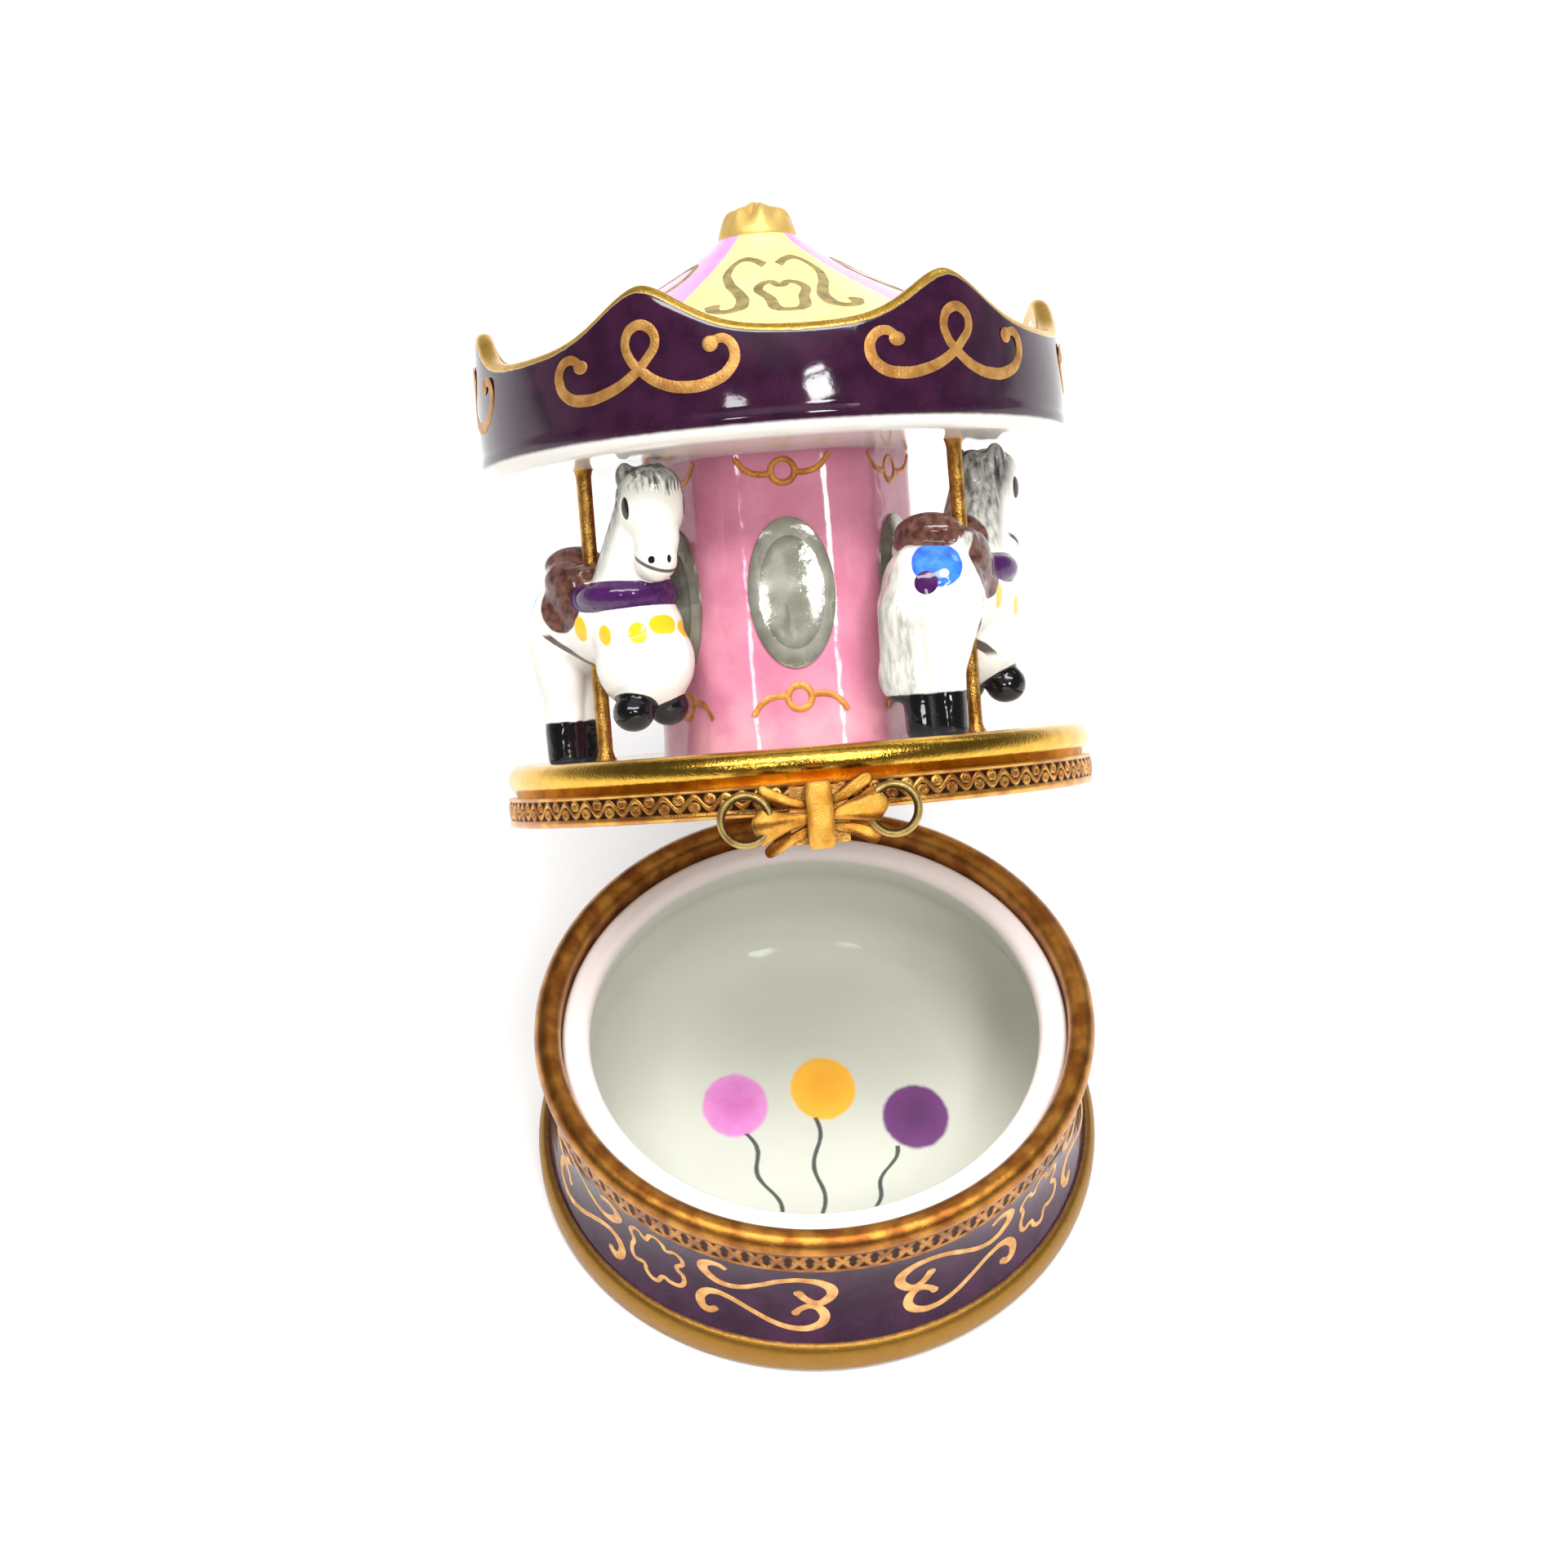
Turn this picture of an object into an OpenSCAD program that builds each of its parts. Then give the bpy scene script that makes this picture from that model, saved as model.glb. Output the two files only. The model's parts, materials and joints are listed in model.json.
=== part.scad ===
// Hinged porcelain trinket box with a fixed carousel on its lid.
// Millimetres. Origin at the middle of the flat underside, +Z up, -Y is the clasp side.
// The lid is drawn in its open position; every lid height is measured above the hinge axis.

/* [Overall] */
// Outer diameter of both brass collars
collar_d = 51; // [42:0.5:62]
// Height of the base, from the table to the top of its collar
base_h = 18.6; // [15.5:0.1:23]
// Clear height of the column between the deck and the canopy
column_h = 24.7; // [20:0.1:30]
// Diameter of the canopy
canopy_d = 51; // [42:0.5:62]
// Angle that the lid stands open at
lid_open = 45.5; // [0:0.5:60]

/* [Bowl] */
// How far the gilded foot stands out past the collar
foot_flare = 0.9; // [0.4:0.1:2]
// Height of the gilded foot
foot_h = 3.3; // [2.4:0.1:4.5]
// How deep the wall's waist curves in
waist_depth = 0.55; // [0:0.05:1.2]
// Thickness of the floor
floor_t = 3.2; // [2:0.1:4]
// Thickness of the porcelain lip
lip_t = 2.6; // [1.8:0.1:3.2]
// How far the lip stays below the top of the collar
lip_drop = 1.7; // [0.8:0.1:2.2]
// Radius of the fillet round the floor
floor_fillet = 5; // [2:0.5:7]

/* [Collars] */
// Radial thickness of the brass collars
collar_t = 2.4; // [1.8:0.1:3]
// Height of the base collar
base_collar_h = 4.8; // [4:0.1:6]
// Height of the lid collar
lid_collar_h = 2.5; // [2:0.1:3.5]
// Gap between the two collars when the lid is shut
rim_gap = 0.3; // [0.2:0.05:0.5]

/* [Hinge] */
// Outer diameter of the hinge knuckles
knuckle_d = 2.5; // [2.2:0.1:3]
// Diameter of the hinge pin
pin_d = 1.1; // [0.8:0.1:1.4]
// Radial running clearance of the lid knuckle on the pin
pin_clearance = 0.05; // [0.02:0.01:0.1]
// Length of the lid knuckle
lid_knuckle_l = 5; // [4:0.5:7]
// Length of each base knuckle
base_knuckle_l = 4; // [3:0.5:6]
// How far the hinge axis lies behind the collars
hinge_back = 0.9; // [0.8:0.1:1.2]

/* [Deck] */
// Height of the deck's top above the hinge axis
deck_h = 5.3; // [4.8:0.1:7]
// Thickness of the deck plate
deck_t = 3.1; // [2.5:0.1:3.6]
// Radius of the bulged rim
deck_rim_r = 1.25; // [0.9:0.05:1.4]

/* [Column] */
// Width of the column across its flats
column_w = 21.7; // [18:0.1:25]
// Radius of the column's corners
column_corner_r = 2.3; // [1:0.1:3]
// Wall thickness of the column
column_wall = 1.7; // [1.2:0.1:2.5]
// Width of each oval mirror
mirror_w = 7.3; // [5:0.1:8]
// Height of each oval mirror
mirror_h = 12.7; // [10:0.1:15]
// Thickness of each mirror
mirror_t = 0.8; // [0.5:0.1:1.2]
// Diameter of the vent holes that let the hollow castings breathe
vent_d = 2.4; // [1.6:0.2:4]

/* [Canopy] */
// Height of the valance at its low points, above the soffit
valance_low = 8.7; // [7:0.1:11]
// How much higher the peaks of the valance stand
scallop_depth = 4.2; // [2.5:0.1:5.5]
// How far the scallops are turned against the faces of the column
canopy_turn = 3.8; // [-30:0.1:30]
// Wall thickness of the valance and the roof
canopy_wall = 1.9; // [1.4:0.1:2.5]
// Height of the roof's shoulder below the finial, above the soffit
roof_h = 19.6; // [16:0.1:24]
// Height of the gathered finial
finial_h = 3.25; // [2.5:0.05:4]
// Radius of the finial's neck
finial_r = 3.4; // [2.5:0.1:4.5]

/* [Horses] */
// Diameter of the brass poles
pole_d = 1.3; // [1:0.02:2.2]
// How deep each pole is set into the porcelain
pole_seat = 1; // [0.5:0.1:1.4]
// Glue line round each pole
pole_glue = 0.03; // [0.02:0.01:0.08]
// Angle of the first pole, seen from above
first_pole_angle = -36.7; // [-60:0.1:0]
// How far each horse stands inwards of its pole
horse_inset = 1.2; // [0:0.1:2]
// How far each horse is turned inwards on its pole
horse_turns = [3, 9, 16]; // [-10:1:20]
// Clearance between the ears and the soffit
head_clearance = 0.5; // [0.3:0.1:3]

/* [Bow] */
// Width of the bow's ribbon
ribbon_w = 10.4; // [8:0.1:12]
// Height of the bow's ribbon
ribbon_h = 5.6; // [4.5:0.1:6.5]
// Outer diameter of each wire loop
loop_d = 4.5; // [3.5:0.1:5.5]
// Wall of each wire loop
loop_wall = 0.45; // [0.3:0.05:0.7]
// Width of the knot
knot_w = 2.2; // [1.6:0.1:3]
// Height of the knot
knot_h = 4.7; // [4:0.1:5.5]

/* [Hidden] */
$fn = 72;

brass = "darkgoldenrod";
porcelain = "white";
purple = "#4b2552";

collar_r = collar_d / 2;
collar_in_r = collar_r - collar_t;
roll_r = collar_t / 2;
shoulder_z = base_h - base_collar_h;
band_top_r = collar_r - 0.3;
band_foot_r = collar_r - 0.6;

// The hinge axis runs along X, halfway up the gap between the collars
hinge_y = collar_r + hinge_back;
hinge_z = base_h + rim_gap / 2;
lid_low = rim_gap / 2;
lid_collar_top = lid_low + lid_collar_h;
knuckle_r = knuckle_d / 2;
knuckle_gap = 0.15;
notch_clearance = 0.2;
leaf_t = 0.8;
leaf_bite = 0.6;
pin_seat = 0.02;
pin_head_r = pin_d / 2 + 0.35;
pin_head_t = 0.4;
hinge_l = lid_knuckle_l + 2 * base_knuckle_l + 2 * knuckle_gap;

foot_r = collar_r + foot_flare;
foot_edge_r = 0.8;
wall_foot_r = collar_r - 0.1;
wall_top_r = collar_r - 0.7;
lip_top = base_h - lip_drop;
lip_in_r = collar_in_r - lip_t;
belly_in_r = lip_in_r + 1;
lip_round = 0.9;
wall_steps = 10;

deck_r = collar_r - 0.1;
deck_neck_r = deck_r - 0.6;
neck_step = 0.4;
skirt_low = lid_low + 0.5;
skirt_in_r = collar_in_r - 2.5;

column_a = column_w / 2;
column_round = min(column_corner_r, column_a / 3);
column_r = (column_a - column_round) / cos(30) + column_round;
corner_steps = 6;
soffit_h = deck_h + column_h;
mirror_mid = deck_h + 0.522 * column_h;
mirror_recess = 0.35;
mirror_end_r = 0.79 * mirror_w / 2;
face_angles = [for (k = [0:5]) -90 + 60 * k];

valance_r = canopy_d / 2;
valance_in_r = valance_r - canopy_wall;
valance_top = valance_low + scallop_depth;
soffit_t = 1.7;
soffit_round = 1.7;
scallop_half = valance_r / 2;
scallop_r = (pow(scallop_half, 2) + pow(scallop_depth, 2)) / (2 * scallop_depth);
roof_eave = valance_low - 0.7;
roof_power = 0.855;
roof_steps = 14;

pole_r = pole_d / 2;
pole_ring_r = column_r + 0.45 * (deck_r - column_r);
horse_h = column_h - head_clearance;
// The horse is drawn 23.5 high and scaled to the room between deck and soffit
horse_k = horse_h / 23.5;

tongue_t = 0.7;
tongue_gap = 0.3;
tongue_w = 4.6;
tongue_low = -2.3;
tongue_top = 2.3;
tongue_out_r = collar_r + tongue_t;
ribbon_t = 1.1;
ribbon_back = collar_r + 0.4;
ribbon_front = ribbon_back + ribbon_t;
knot_t = 0.7;
loop_depth = 1.3;
loop_x = ribbon_w / 2 + 0.65;

function polar(r, a) = [r * cos(a), r * sin(a)];

// Puts a lid piece, drawn shut with its heights above the hinge axis, in its open place
module on_lid() {
    translate([0, hinge_y, hinge_z]) rotate([-lid_open, 0, 0]) translate([0, -hinge_y, 0]) children();
}

// A cylinder along X, centred on the hinge axis
module along_hinge(r, l, x = 0) {
    translate([x, hinge_y, 0]) rotate([0, 90, 0]) cylinder(h = l, r = r, center = true);
}

module hinge_notch() {
    along_hinge(knuckle_r + notch_clearance, hinge_l + 2 * pin_head_t + 2 * notch_clearance);
}

// Base

function wall_r(t) = wall_foot_r + (wall_top_r - wall_foot_r) * t - 4 * waist_depth * t * (1 - t);

module bowl_outline() {
    polygon([
        [0, 0], [foot_r - foot_edge_r, 0], [foot_r, foot_edge_r], [foot_r, foot_h / 2],
        for (a = [0:15:90]) [wall_foot_r + (foot_r - wall_foot_r) * cos(a), foot_h * (1 + sin(a)) / 2],
        for (i = [0:wall_steps]) [wall_r(i / wall_steps), foot_h + (shoulder_z - foot_h) * i / wall_steps],
        [collar_in_r, shoulder_z], [collar_in_r, lip_top - lip_round],
        for (a = [0:15:90]) [collar_in_r - lip_round * (1 - cos(a)), lip_top - lip_round * (1 - sin(a))],
        [0, lip_top]
    ]);
}

module bowl_hollow_outline() {
    polygon([
        [0, floor_t],
        for (a = [0:10:90])
            [belly_in_r - floor_fillet * (1 - sin(a)), floor_t + floor_fillet * (1 - cos(a))],
        for (a = [0:15:90])
            [lip_in_r + (belly_in_r - lip_in_r) * cos(a), lip_top - 3 + 1.5 * sin(a)],
        for (a = [0:15:90]) [lip_in_r + lip_round * (1 - cos(a)), lip_top - lip_round * (1 - sin(a))],
        [lip_in_r + lip_round, lip_top + 1], [0, lip_top + 1]
    ]);
}

module bowl() {
    color(purple) difference() {
        rotate_extrude() bowl_outline();
        rotate_extrude() bowl_hollow_outline();
    }
}

module base_collar_ring() {
    rotate_extrude() {
        translate([collar_r - roll_r, base_h - roll_r]) circle(r = roll_r);
        polygon([
            [collar_in_r, shoulder_z], [band_foot_r, shoulder_z],
            [band_top_r, base_h - 2 * roll_r + 0.4], [collar_r - roll_r, base_h - roll_r],
            [collar_in_r, base_h - roll_r]
        ]);
    }
}

module base_collar() {
    color(brass) difference() {
        base_collar_ring();
        translate([0, 0, hinge_z]) hinge_notch();
    }
}

// A knuckle on the base, with the leaf that is soldered to the collar below it
module base_knuckle(side) {
    x = side * (lid_knuckle_l / 2 + knuckle_gap + base_knuckle_l / 2);
    leaf_h = base_collar_h - 1.4;
    color(brass) difference() {
        union() {
            translate([0, 0, hinge_z]) along_hinge(knuckle_r, base_knuckle_l, x);
            translate([x - base_knuckle_l / 2, collar_r - 3 * leaf_bite, hinge_z - leaf_h])
                cube([base_knuckle_l, 3 * leaf_bite + leaf_t, leaf_h]);
        }
        base_collar_ring();
        cylinder(h = 3 * base_h, r = collar_in_r + roll_r, center = true);
        translate([0, 0, hinge_z]) along_hinge(pin_d / 2 + pin_seat, 2 * hinge_l);
    }
}

module base_knuckle_left() { base_knuckle(-1); }

module base_knuckle_right() { base_knuckle(1); }

module hinge_pin() {
    color(brass) translate([0, 0, hinge_z]) {
        along_hinge(pin_d / 2, hinge_l + pin_head_t);
        for (side = [-1, 1])
            along_hinge(pin_head_r, pin_head_t, side * (hinge_l + pin_head_t) / 2);
    }
}

// Lid

module lid_collar_ring() {
    edge = 0.5;
    rotate_extrude() {
        translate([collar_in_r, lid_low + edge]) square([collar_t, lid_collar_h - edge]);
        translate([collar_in_r, lid_low]) square([collar_t - edge, lid_collar_h]);
        translate([collar_r - edge, lid_low + edge]) circle(r = edge);
    }
}

module lid_collar() {
    color(brass) on_lid() difference() {
        lid_collar_ring();
        hinge_notch();
    }
}

module lid_knuckle() {
    color(brass) on_lid() difference() {
        union() {
            along_hinge(knuckle_r, lid_knuckle_l);
            translate([-lid_knuckle_l / 2, collar_r - leaf_bite, 0])
                cube([lid_knuckle_l, leaf_bite + leaf_t, lid_collar_top - 0.2]);
        }
        lid_collar_ring();
        cylinder(h = 3 * lid_collar_h, r = collar_r - leaf_bite, center = true);
        along_hinge(pin_d / 2 + pin_clearance, 2 * lid_knuckle_l);
    }
}

// The three poles stand on one circle, between the column and the deck's edge
module at_pole(k) {
    rotate([0, 0, first_pole_angle + 120 * k]) translate([pole_ring_r, 0, 0]) children();
}

module pole_sockets() {
    for (k = [0:2])
        at_pole(k) translate([0, 0, deck_h - pole_seat])
            cylinder(h = column_h + 2 * pole_seat, r = pole_r + pole_glue);
}

module lid_deck() {
    color(porcelain) on_lid() difference() {
        rotate_extrude() {
            translate([0, deck_h - deck_t]) square([collar_in_r, deck_t]);
            translate([skirt_in_r, skirt_low]) square([collar_in_r - skirt_in_r, deck_h - skirt_low]);
            // Over the collar the plate steps out to the neck and the bulged rim
            translate([skirt_in_r, lid_collar_top])
                square([deck_neck_r - neck_step - skirt_in_r, deck_h - lid_collar_top]);
            translate([skirt_in_r, lid_collar_top])
                square([deck_neck_r - skirt_in_r, deck_h - lid_collar_top - 2 * neck_step]);
            translate([deck_r - deck_rim_r, deck_h - deck_rim_r + 0.1]) circle(r = deck_rim_r);
        }
        cylinder(h = 3 * deck_h, r = vent_d / 2, center = true);
        pole_sockets();
    }
}

// A hexagon with rounded corners, corners on the X axis
module hexagon(a, corner) {
    c = (a - corner) / cos(30);
    polygon([
        for (k = [0:5]) for (i = [0:corner_steps])
            polar(c, 60 * k) + polar(corner, 60 * k - 30 + 60 * i / corner_steps)
    ]);
}

// A four-centred oval, upright
module oval(w, h, end_r) {
    c = h / 2 - end_r;
    side_r = (pow(w / 2, 2) + pow(c, 2) - pow(end_r, 2)) / (w - 2 * end_r);
    meet = side_r * c / (side_r - end_r);
    for (s = [-1, 1]) translate([0, s * c]) circle(r = end_r);
    intersection() {
        translate([side_r - w / 2, 0]) circle(r = side_r);
        translate([w / 2 - side_r, 0]) circle(r = side_r);
        square([w, 2 * meet], center = true);
    }
}

// Stands an upright outline on a face of the column, pushed out from depth d
module on_face(k, d) {
    rotate([0, 0, face_angles[k]]) translate([column_a + d, 0, mirror_mid]) rotate([90, 0, 90]) children();
}

module column() {
    color("#bb6d95") on_lid() difference() {
        translate([0, 0, deck_h]) linear_extrude(column_h) difference() {
            hexagon(column_a, column_round);
            hexagon(column_a - column_wall, column_round - column_wall / 2);
        }
        for (k = [0:5])
            on_face(k, -mirror_recess) linear_extrude(1) oval(mirror_w, mirror_h, mirror_end_r);
    }
}

module mirror(k) {
    color("silver") on_lid() on_face(k, -mirror_recess)
        linear_extrude(mirror_t) oval(mirror_w, mirror_h, mirror_end_r);
}

function roof_z(r) =
    roof_h - (roof_h - roof_eave) * pow(max(0, r - finial_r) / (valance_in_r - finial_r), roof_power);

// Section of the roof, dropped by d from its outer face
module roof_outline(r_end, d) {
    polygon([
        [0, soffit_t], [0, roof_h - d],
        for (i = [0:roof_steps]) let (r = finial_r + (r_end - finial_r) * i / roof_steps) [r, roof_z(r) - d],
        [r_end, soffit_t]
    ]);
}

module valance() {
    difference() {
        rotate_extrude() {
            translate([valance_in_r, soffit_round]) square([canopy_wall, valance_top]);
            translate([0, 0]) square([valance_r - soffit_round, soffit_t]);
            translate([valance_r - soffit_round, soffit_round]) circle(r = soffit_round);
        }
        for (a = face_angles)
            rotate([0, 0, a + canopy_turn]) translate([valance_r / 2, 0, valance_low + scallop_r])
                rotate([0, 90, 0]) cylinder(h = valance_r, r = scallop_r);
    }
}

module canopy() {
    cavity_r = valance_in_r - canopy_wall;
    color(purple) on_lid() difference() {
        translate([0, 0, soffit_h]) {
            valance();
            difference() {
                rotate_extrude() roof_outline(valance_in_r + 0.2, 0);
                rotate_extrude() roof_outline(cavity_r, canopy_wall);
            }
            translate([0, 0, roof_h - 0.2])
                cylinder(h = finial_h - 0.9, r1 = finial_r + 0.1, r2 = finial_r - 0.9);
            translate([0, 0, roof_h + finial_h - 1.5]) sphere(r = 1.5);
        }
        translate([0, 0, soffit_h]) cylinder(h = 3 * soffit_t, r = vent_d / 2, center = true);
        pole_sockets();
    }
}

// Horses and poles

// A tapered limb between two points, with a ball at its far end
module limb(p, q, rp, rq) {
    v = q - p;
    l = norm(v);
    translate(p) rotate([0, acos(v.z / l), atan2(v.y, v.x)]) cylinder(h = l, r1 = rp, r2 = rq);
    translate(q) sphere(r = rq + 0.04);
}

module blend(p, q, rp, rq) {
    hull() {
        translate(p) sphere(r = rp, $fn = 28);
        translate(q) sphere(r = rq, $fn = 28);
    }
}

// A plump prancing horse, 23.5 high, facing +X over its pole, with its hind hooves on z = 0
module horse_body() {
    // Barrel, neck, and the head turned a little outwards
    blend([-2.8, 0, 12], [3.4, 0.2, 11.4], 4, 3.8);
    blend([3.4, 0, 13.4], [6.1, 0, 20.2], 3.35, 2.35);
    blend([7.5, -0.2, 20.8], [7.9, -0.7, 15.8], 2.2, 1.65);
    // Cantle, pommel and the rounded forelegs with the hooves tucked under
    translate([-3.6, 0, 16.2]) sphere(r = 1.9);
    translate([1.6, 0, 15.6]) sphere(r = 1.3);
    translate([4.3, 0.5, 7.8]) sphere(r = 3.85);
    translate([4.9, -1.8, 3.7]) sphere(r = 1.65);
    translate([4.9, 1.9, 4.1]) sphere(r = 1.65);
    // Tail
    limb([-5.6, 0, 14.4], [-7, 0.2, 9], 0.9, 1.2);
    limb([-7, 0.2, 9], [-6.5, 0.3, 4.3], 1.17, 2.1);
    for (side = [-1, 1]) {
        limb([-4.3, 1.9 * side, 10.2], [-4.95, 1.55 * side, 4], 2.65, 2.05);
        translate([-5.05, 1.55 * side, 0]) cylinder(h = 4, r1 = 1.85, r2 = 2);
        translate([6.5, 1.4 * side, 21.4]) rotate([0, 8, 0]) cylinder(h = 2.1, r1 = 0.9, r2 = 0.35);
    }
}

module horse(k) {
    color(porcelain) on_lid() at_pole(k) difference() {
        rotate([0, 0, horse_turns[k]]) translate([-horse_inset, 0, deck_h]) rotate([0, 0, 90])
            scale(horse_k) horse_body();
        translate([0, 0, deck_h]) cylinder(h = column_h, r = pole_r + pole_glue);
    }
}

module pole(k) {
    color(brass) on_lid() at_pole(k) translate([0, 0, deck_h - pole_seat])
        cylinder(h = column_h + 2 * pole_seat, r = pole_r);
}

// Bow clasp, on the front of the lid collar

// Raises an outline drawn in x and height, from y = -back to y = -front
module facing_front(back, front) {
    translate([0, -back, 0]) rotate([90, 0, 0]) linear_extrude(front - back) children();
}

module clasp_tongue() {
    color(brass) on_lid() intersection() {
        rotate_extrude() polygon([
            [collar_r, lid_low + 0.5], [collar_r, tongue_top], [tongue_out_r, tongue_top],
            [tongue_out_r, tongue_low], [collar_r + tongue_gap, tongue_low],
            [collar_r + tongue_gap, lid_low + 0.5]
        ]);
        translate([-tongue_w / 2, -2 * collar_r, tongue_low]) cube([tongue_w, 2 * collar_r, 2 * tongue_top]);
    }
}

module ribbon_outline() {
    w = ribbon_w / 2;
    h = ribbon_h / 2;
    right = [
        [0, 0.9], [w - 1.6, h], [w - 0.7, h - 0.9], [w - 0.9, h - 1.4], [w, 0.5], [w - 0.4, -0.9],
        [w - 1.2, -h + 1.3], [w - 1, -h + 0.7], [w - 2.1, -h], [0, -0.9]
    ];
    last = len(right) - 1;
    polygon(concat(right, [for (i = [1:last - 1]) [-right[last - i].x, right[last - i].y]]));
}

module bow_ribbon() {
    color(brass) on_lid() difference() {
        facing_front(ribbon_back, ribbon_front) ribbon_outline();
        cylinder(h = 4 * ribbon_h, r = tongue_out_r, center = true, $fn = 360);
    }
}

module bow_loop(side) {
    color(brass) on_lid() difference() {
        translate([side * loop_x, -ribbon_back, 0]) rotate([90, 0, 0]) linear_extrude(loop_depth)
            difference() {
                circle(d = loop_d);
                circle(d = loop_d - 2 * loop_wall);
            }
        facing_front(ribbon_back - 1, ribbon_front + 1) ribbon_outline();
    }
}

module bow_loop_left() { bow_loop(-1); }

module bow_loop_right() { bow_loop(1); }

module bow_knot() {
    color(brass) on_lid() facing_front(ribbon_front, ribbon_front + knot_t) {
        square([knot_w, knot_h - 0.8], center = true);
        square([knot_w - 0.8, knot_h], center = true);
    }
}

module mirror_1() { mirror(0); }
module mirror_2() { mirror(1); }
module mirror_3() { mirror(2); }
module mirror_4() { mirror(3); }
module mirror_5() { mirror(4); }
module mirror_6() { mirror(5); }

module horse_1() { horse(0); }
module horse_2() { horse(1); }
module horse_3() { horse(2); }

module pole_1() { pole(0); }
module pole_2() { pole(1); }
module pole_3() { pole(2); }

bowl();
base_collar();
base_knuckle_left();
base_knuckle_right();
hinge_pin();
lid_collar();
lid_knuckle();
lid_deck();
column();
mirror_1();
mirror_2();
mirror_3();
mirror_4();
mirror_5();
mirror_6();
canopy();
bow_loop_left();
bow_loop_right();
bow_ribbon();
bow_knot();
clasp_tongue();
horse_1();
horse_2();
horse_3();
pole_1();
pole_2();
pole_3();
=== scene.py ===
import bpy
import json
import math
import numpy as np
from mathutils import Matrix, Vector

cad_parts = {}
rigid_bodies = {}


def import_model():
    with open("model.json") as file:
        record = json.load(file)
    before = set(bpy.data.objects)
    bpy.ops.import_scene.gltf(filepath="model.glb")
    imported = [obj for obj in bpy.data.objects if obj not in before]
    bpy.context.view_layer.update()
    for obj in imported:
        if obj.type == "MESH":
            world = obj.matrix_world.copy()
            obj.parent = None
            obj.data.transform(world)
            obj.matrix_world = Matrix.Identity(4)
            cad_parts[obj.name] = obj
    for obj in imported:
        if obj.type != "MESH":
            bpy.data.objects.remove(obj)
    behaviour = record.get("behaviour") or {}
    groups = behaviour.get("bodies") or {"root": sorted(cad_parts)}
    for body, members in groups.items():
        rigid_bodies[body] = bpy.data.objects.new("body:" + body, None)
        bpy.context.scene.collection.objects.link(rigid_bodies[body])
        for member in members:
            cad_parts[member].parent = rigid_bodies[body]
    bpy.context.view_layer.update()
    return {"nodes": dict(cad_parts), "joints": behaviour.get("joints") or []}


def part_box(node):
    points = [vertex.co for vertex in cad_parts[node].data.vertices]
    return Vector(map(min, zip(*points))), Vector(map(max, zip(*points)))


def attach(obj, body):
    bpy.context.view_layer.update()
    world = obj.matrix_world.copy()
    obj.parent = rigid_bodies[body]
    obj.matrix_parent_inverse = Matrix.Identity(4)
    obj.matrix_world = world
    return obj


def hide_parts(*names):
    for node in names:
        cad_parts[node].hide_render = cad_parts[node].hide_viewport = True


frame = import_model()

mm = 0.001
hinge = frame["joints"][0]
hingePoint = Vector(hinge["pos_m"])
openAngle = math.radians(hinge["range_deg"][1])
# lid pieces are made upright, heights above the hinge axis, then put in the open place
lidPlace = (Matrix.Translation(hingePoint) @ Matrix.Rotation(-openAngle, 4, "X")
            @ Matrix.Translation((0, -hingePoint.y, 0)))


def lidBox(node):
    back = lidPlace.inverted()
    corners = np.array([back @ v.co for v in frame["nodes"][node].data.vertices]) / mm
    return corners.min(0), corners.max(0)


# sizes in millimetres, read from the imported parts
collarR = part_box("base_collar")[1].x / mm
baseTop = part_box("base_collar")[1].z / mm
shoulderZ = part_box("base_collar")[0].z / mm
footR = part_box("bowl")[1].x / mm
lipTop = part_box("bowl")[1].z / mm
lidLow = lidBox("lid_collar")[0][2]
lidTop = lidBox("lid_collar")[1][2]
deckR = lidBox("lid_deck")[1][0]
deckLow = lidBox("lid_deck")[0][2]
deckTop = lidBox("column")[0][2]
soffit = lidBox("column")[1][2]
columnFlat = lidBox("column")[1][1]
canopyR = lidBox("canopy")[1][0]
canopyTop = lidBox("canopy")[1][2]
mirrorLow, mirrorHigh = lidBox("mirror_1")
mirrorMid = (mirrorLow[2] + mirrorHigh[2]) / 2
faceAngles = [math.radians(-90 + 60 * k) for k in range(6)]


def poleSpot(k):
    low, high = lidBox(f"pole_{k}")
    middle = (low + high) / 2
    return math.atan2(middle[1], middle[0]), math.hypot(middle[0], middle[1])


# materials

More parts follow.
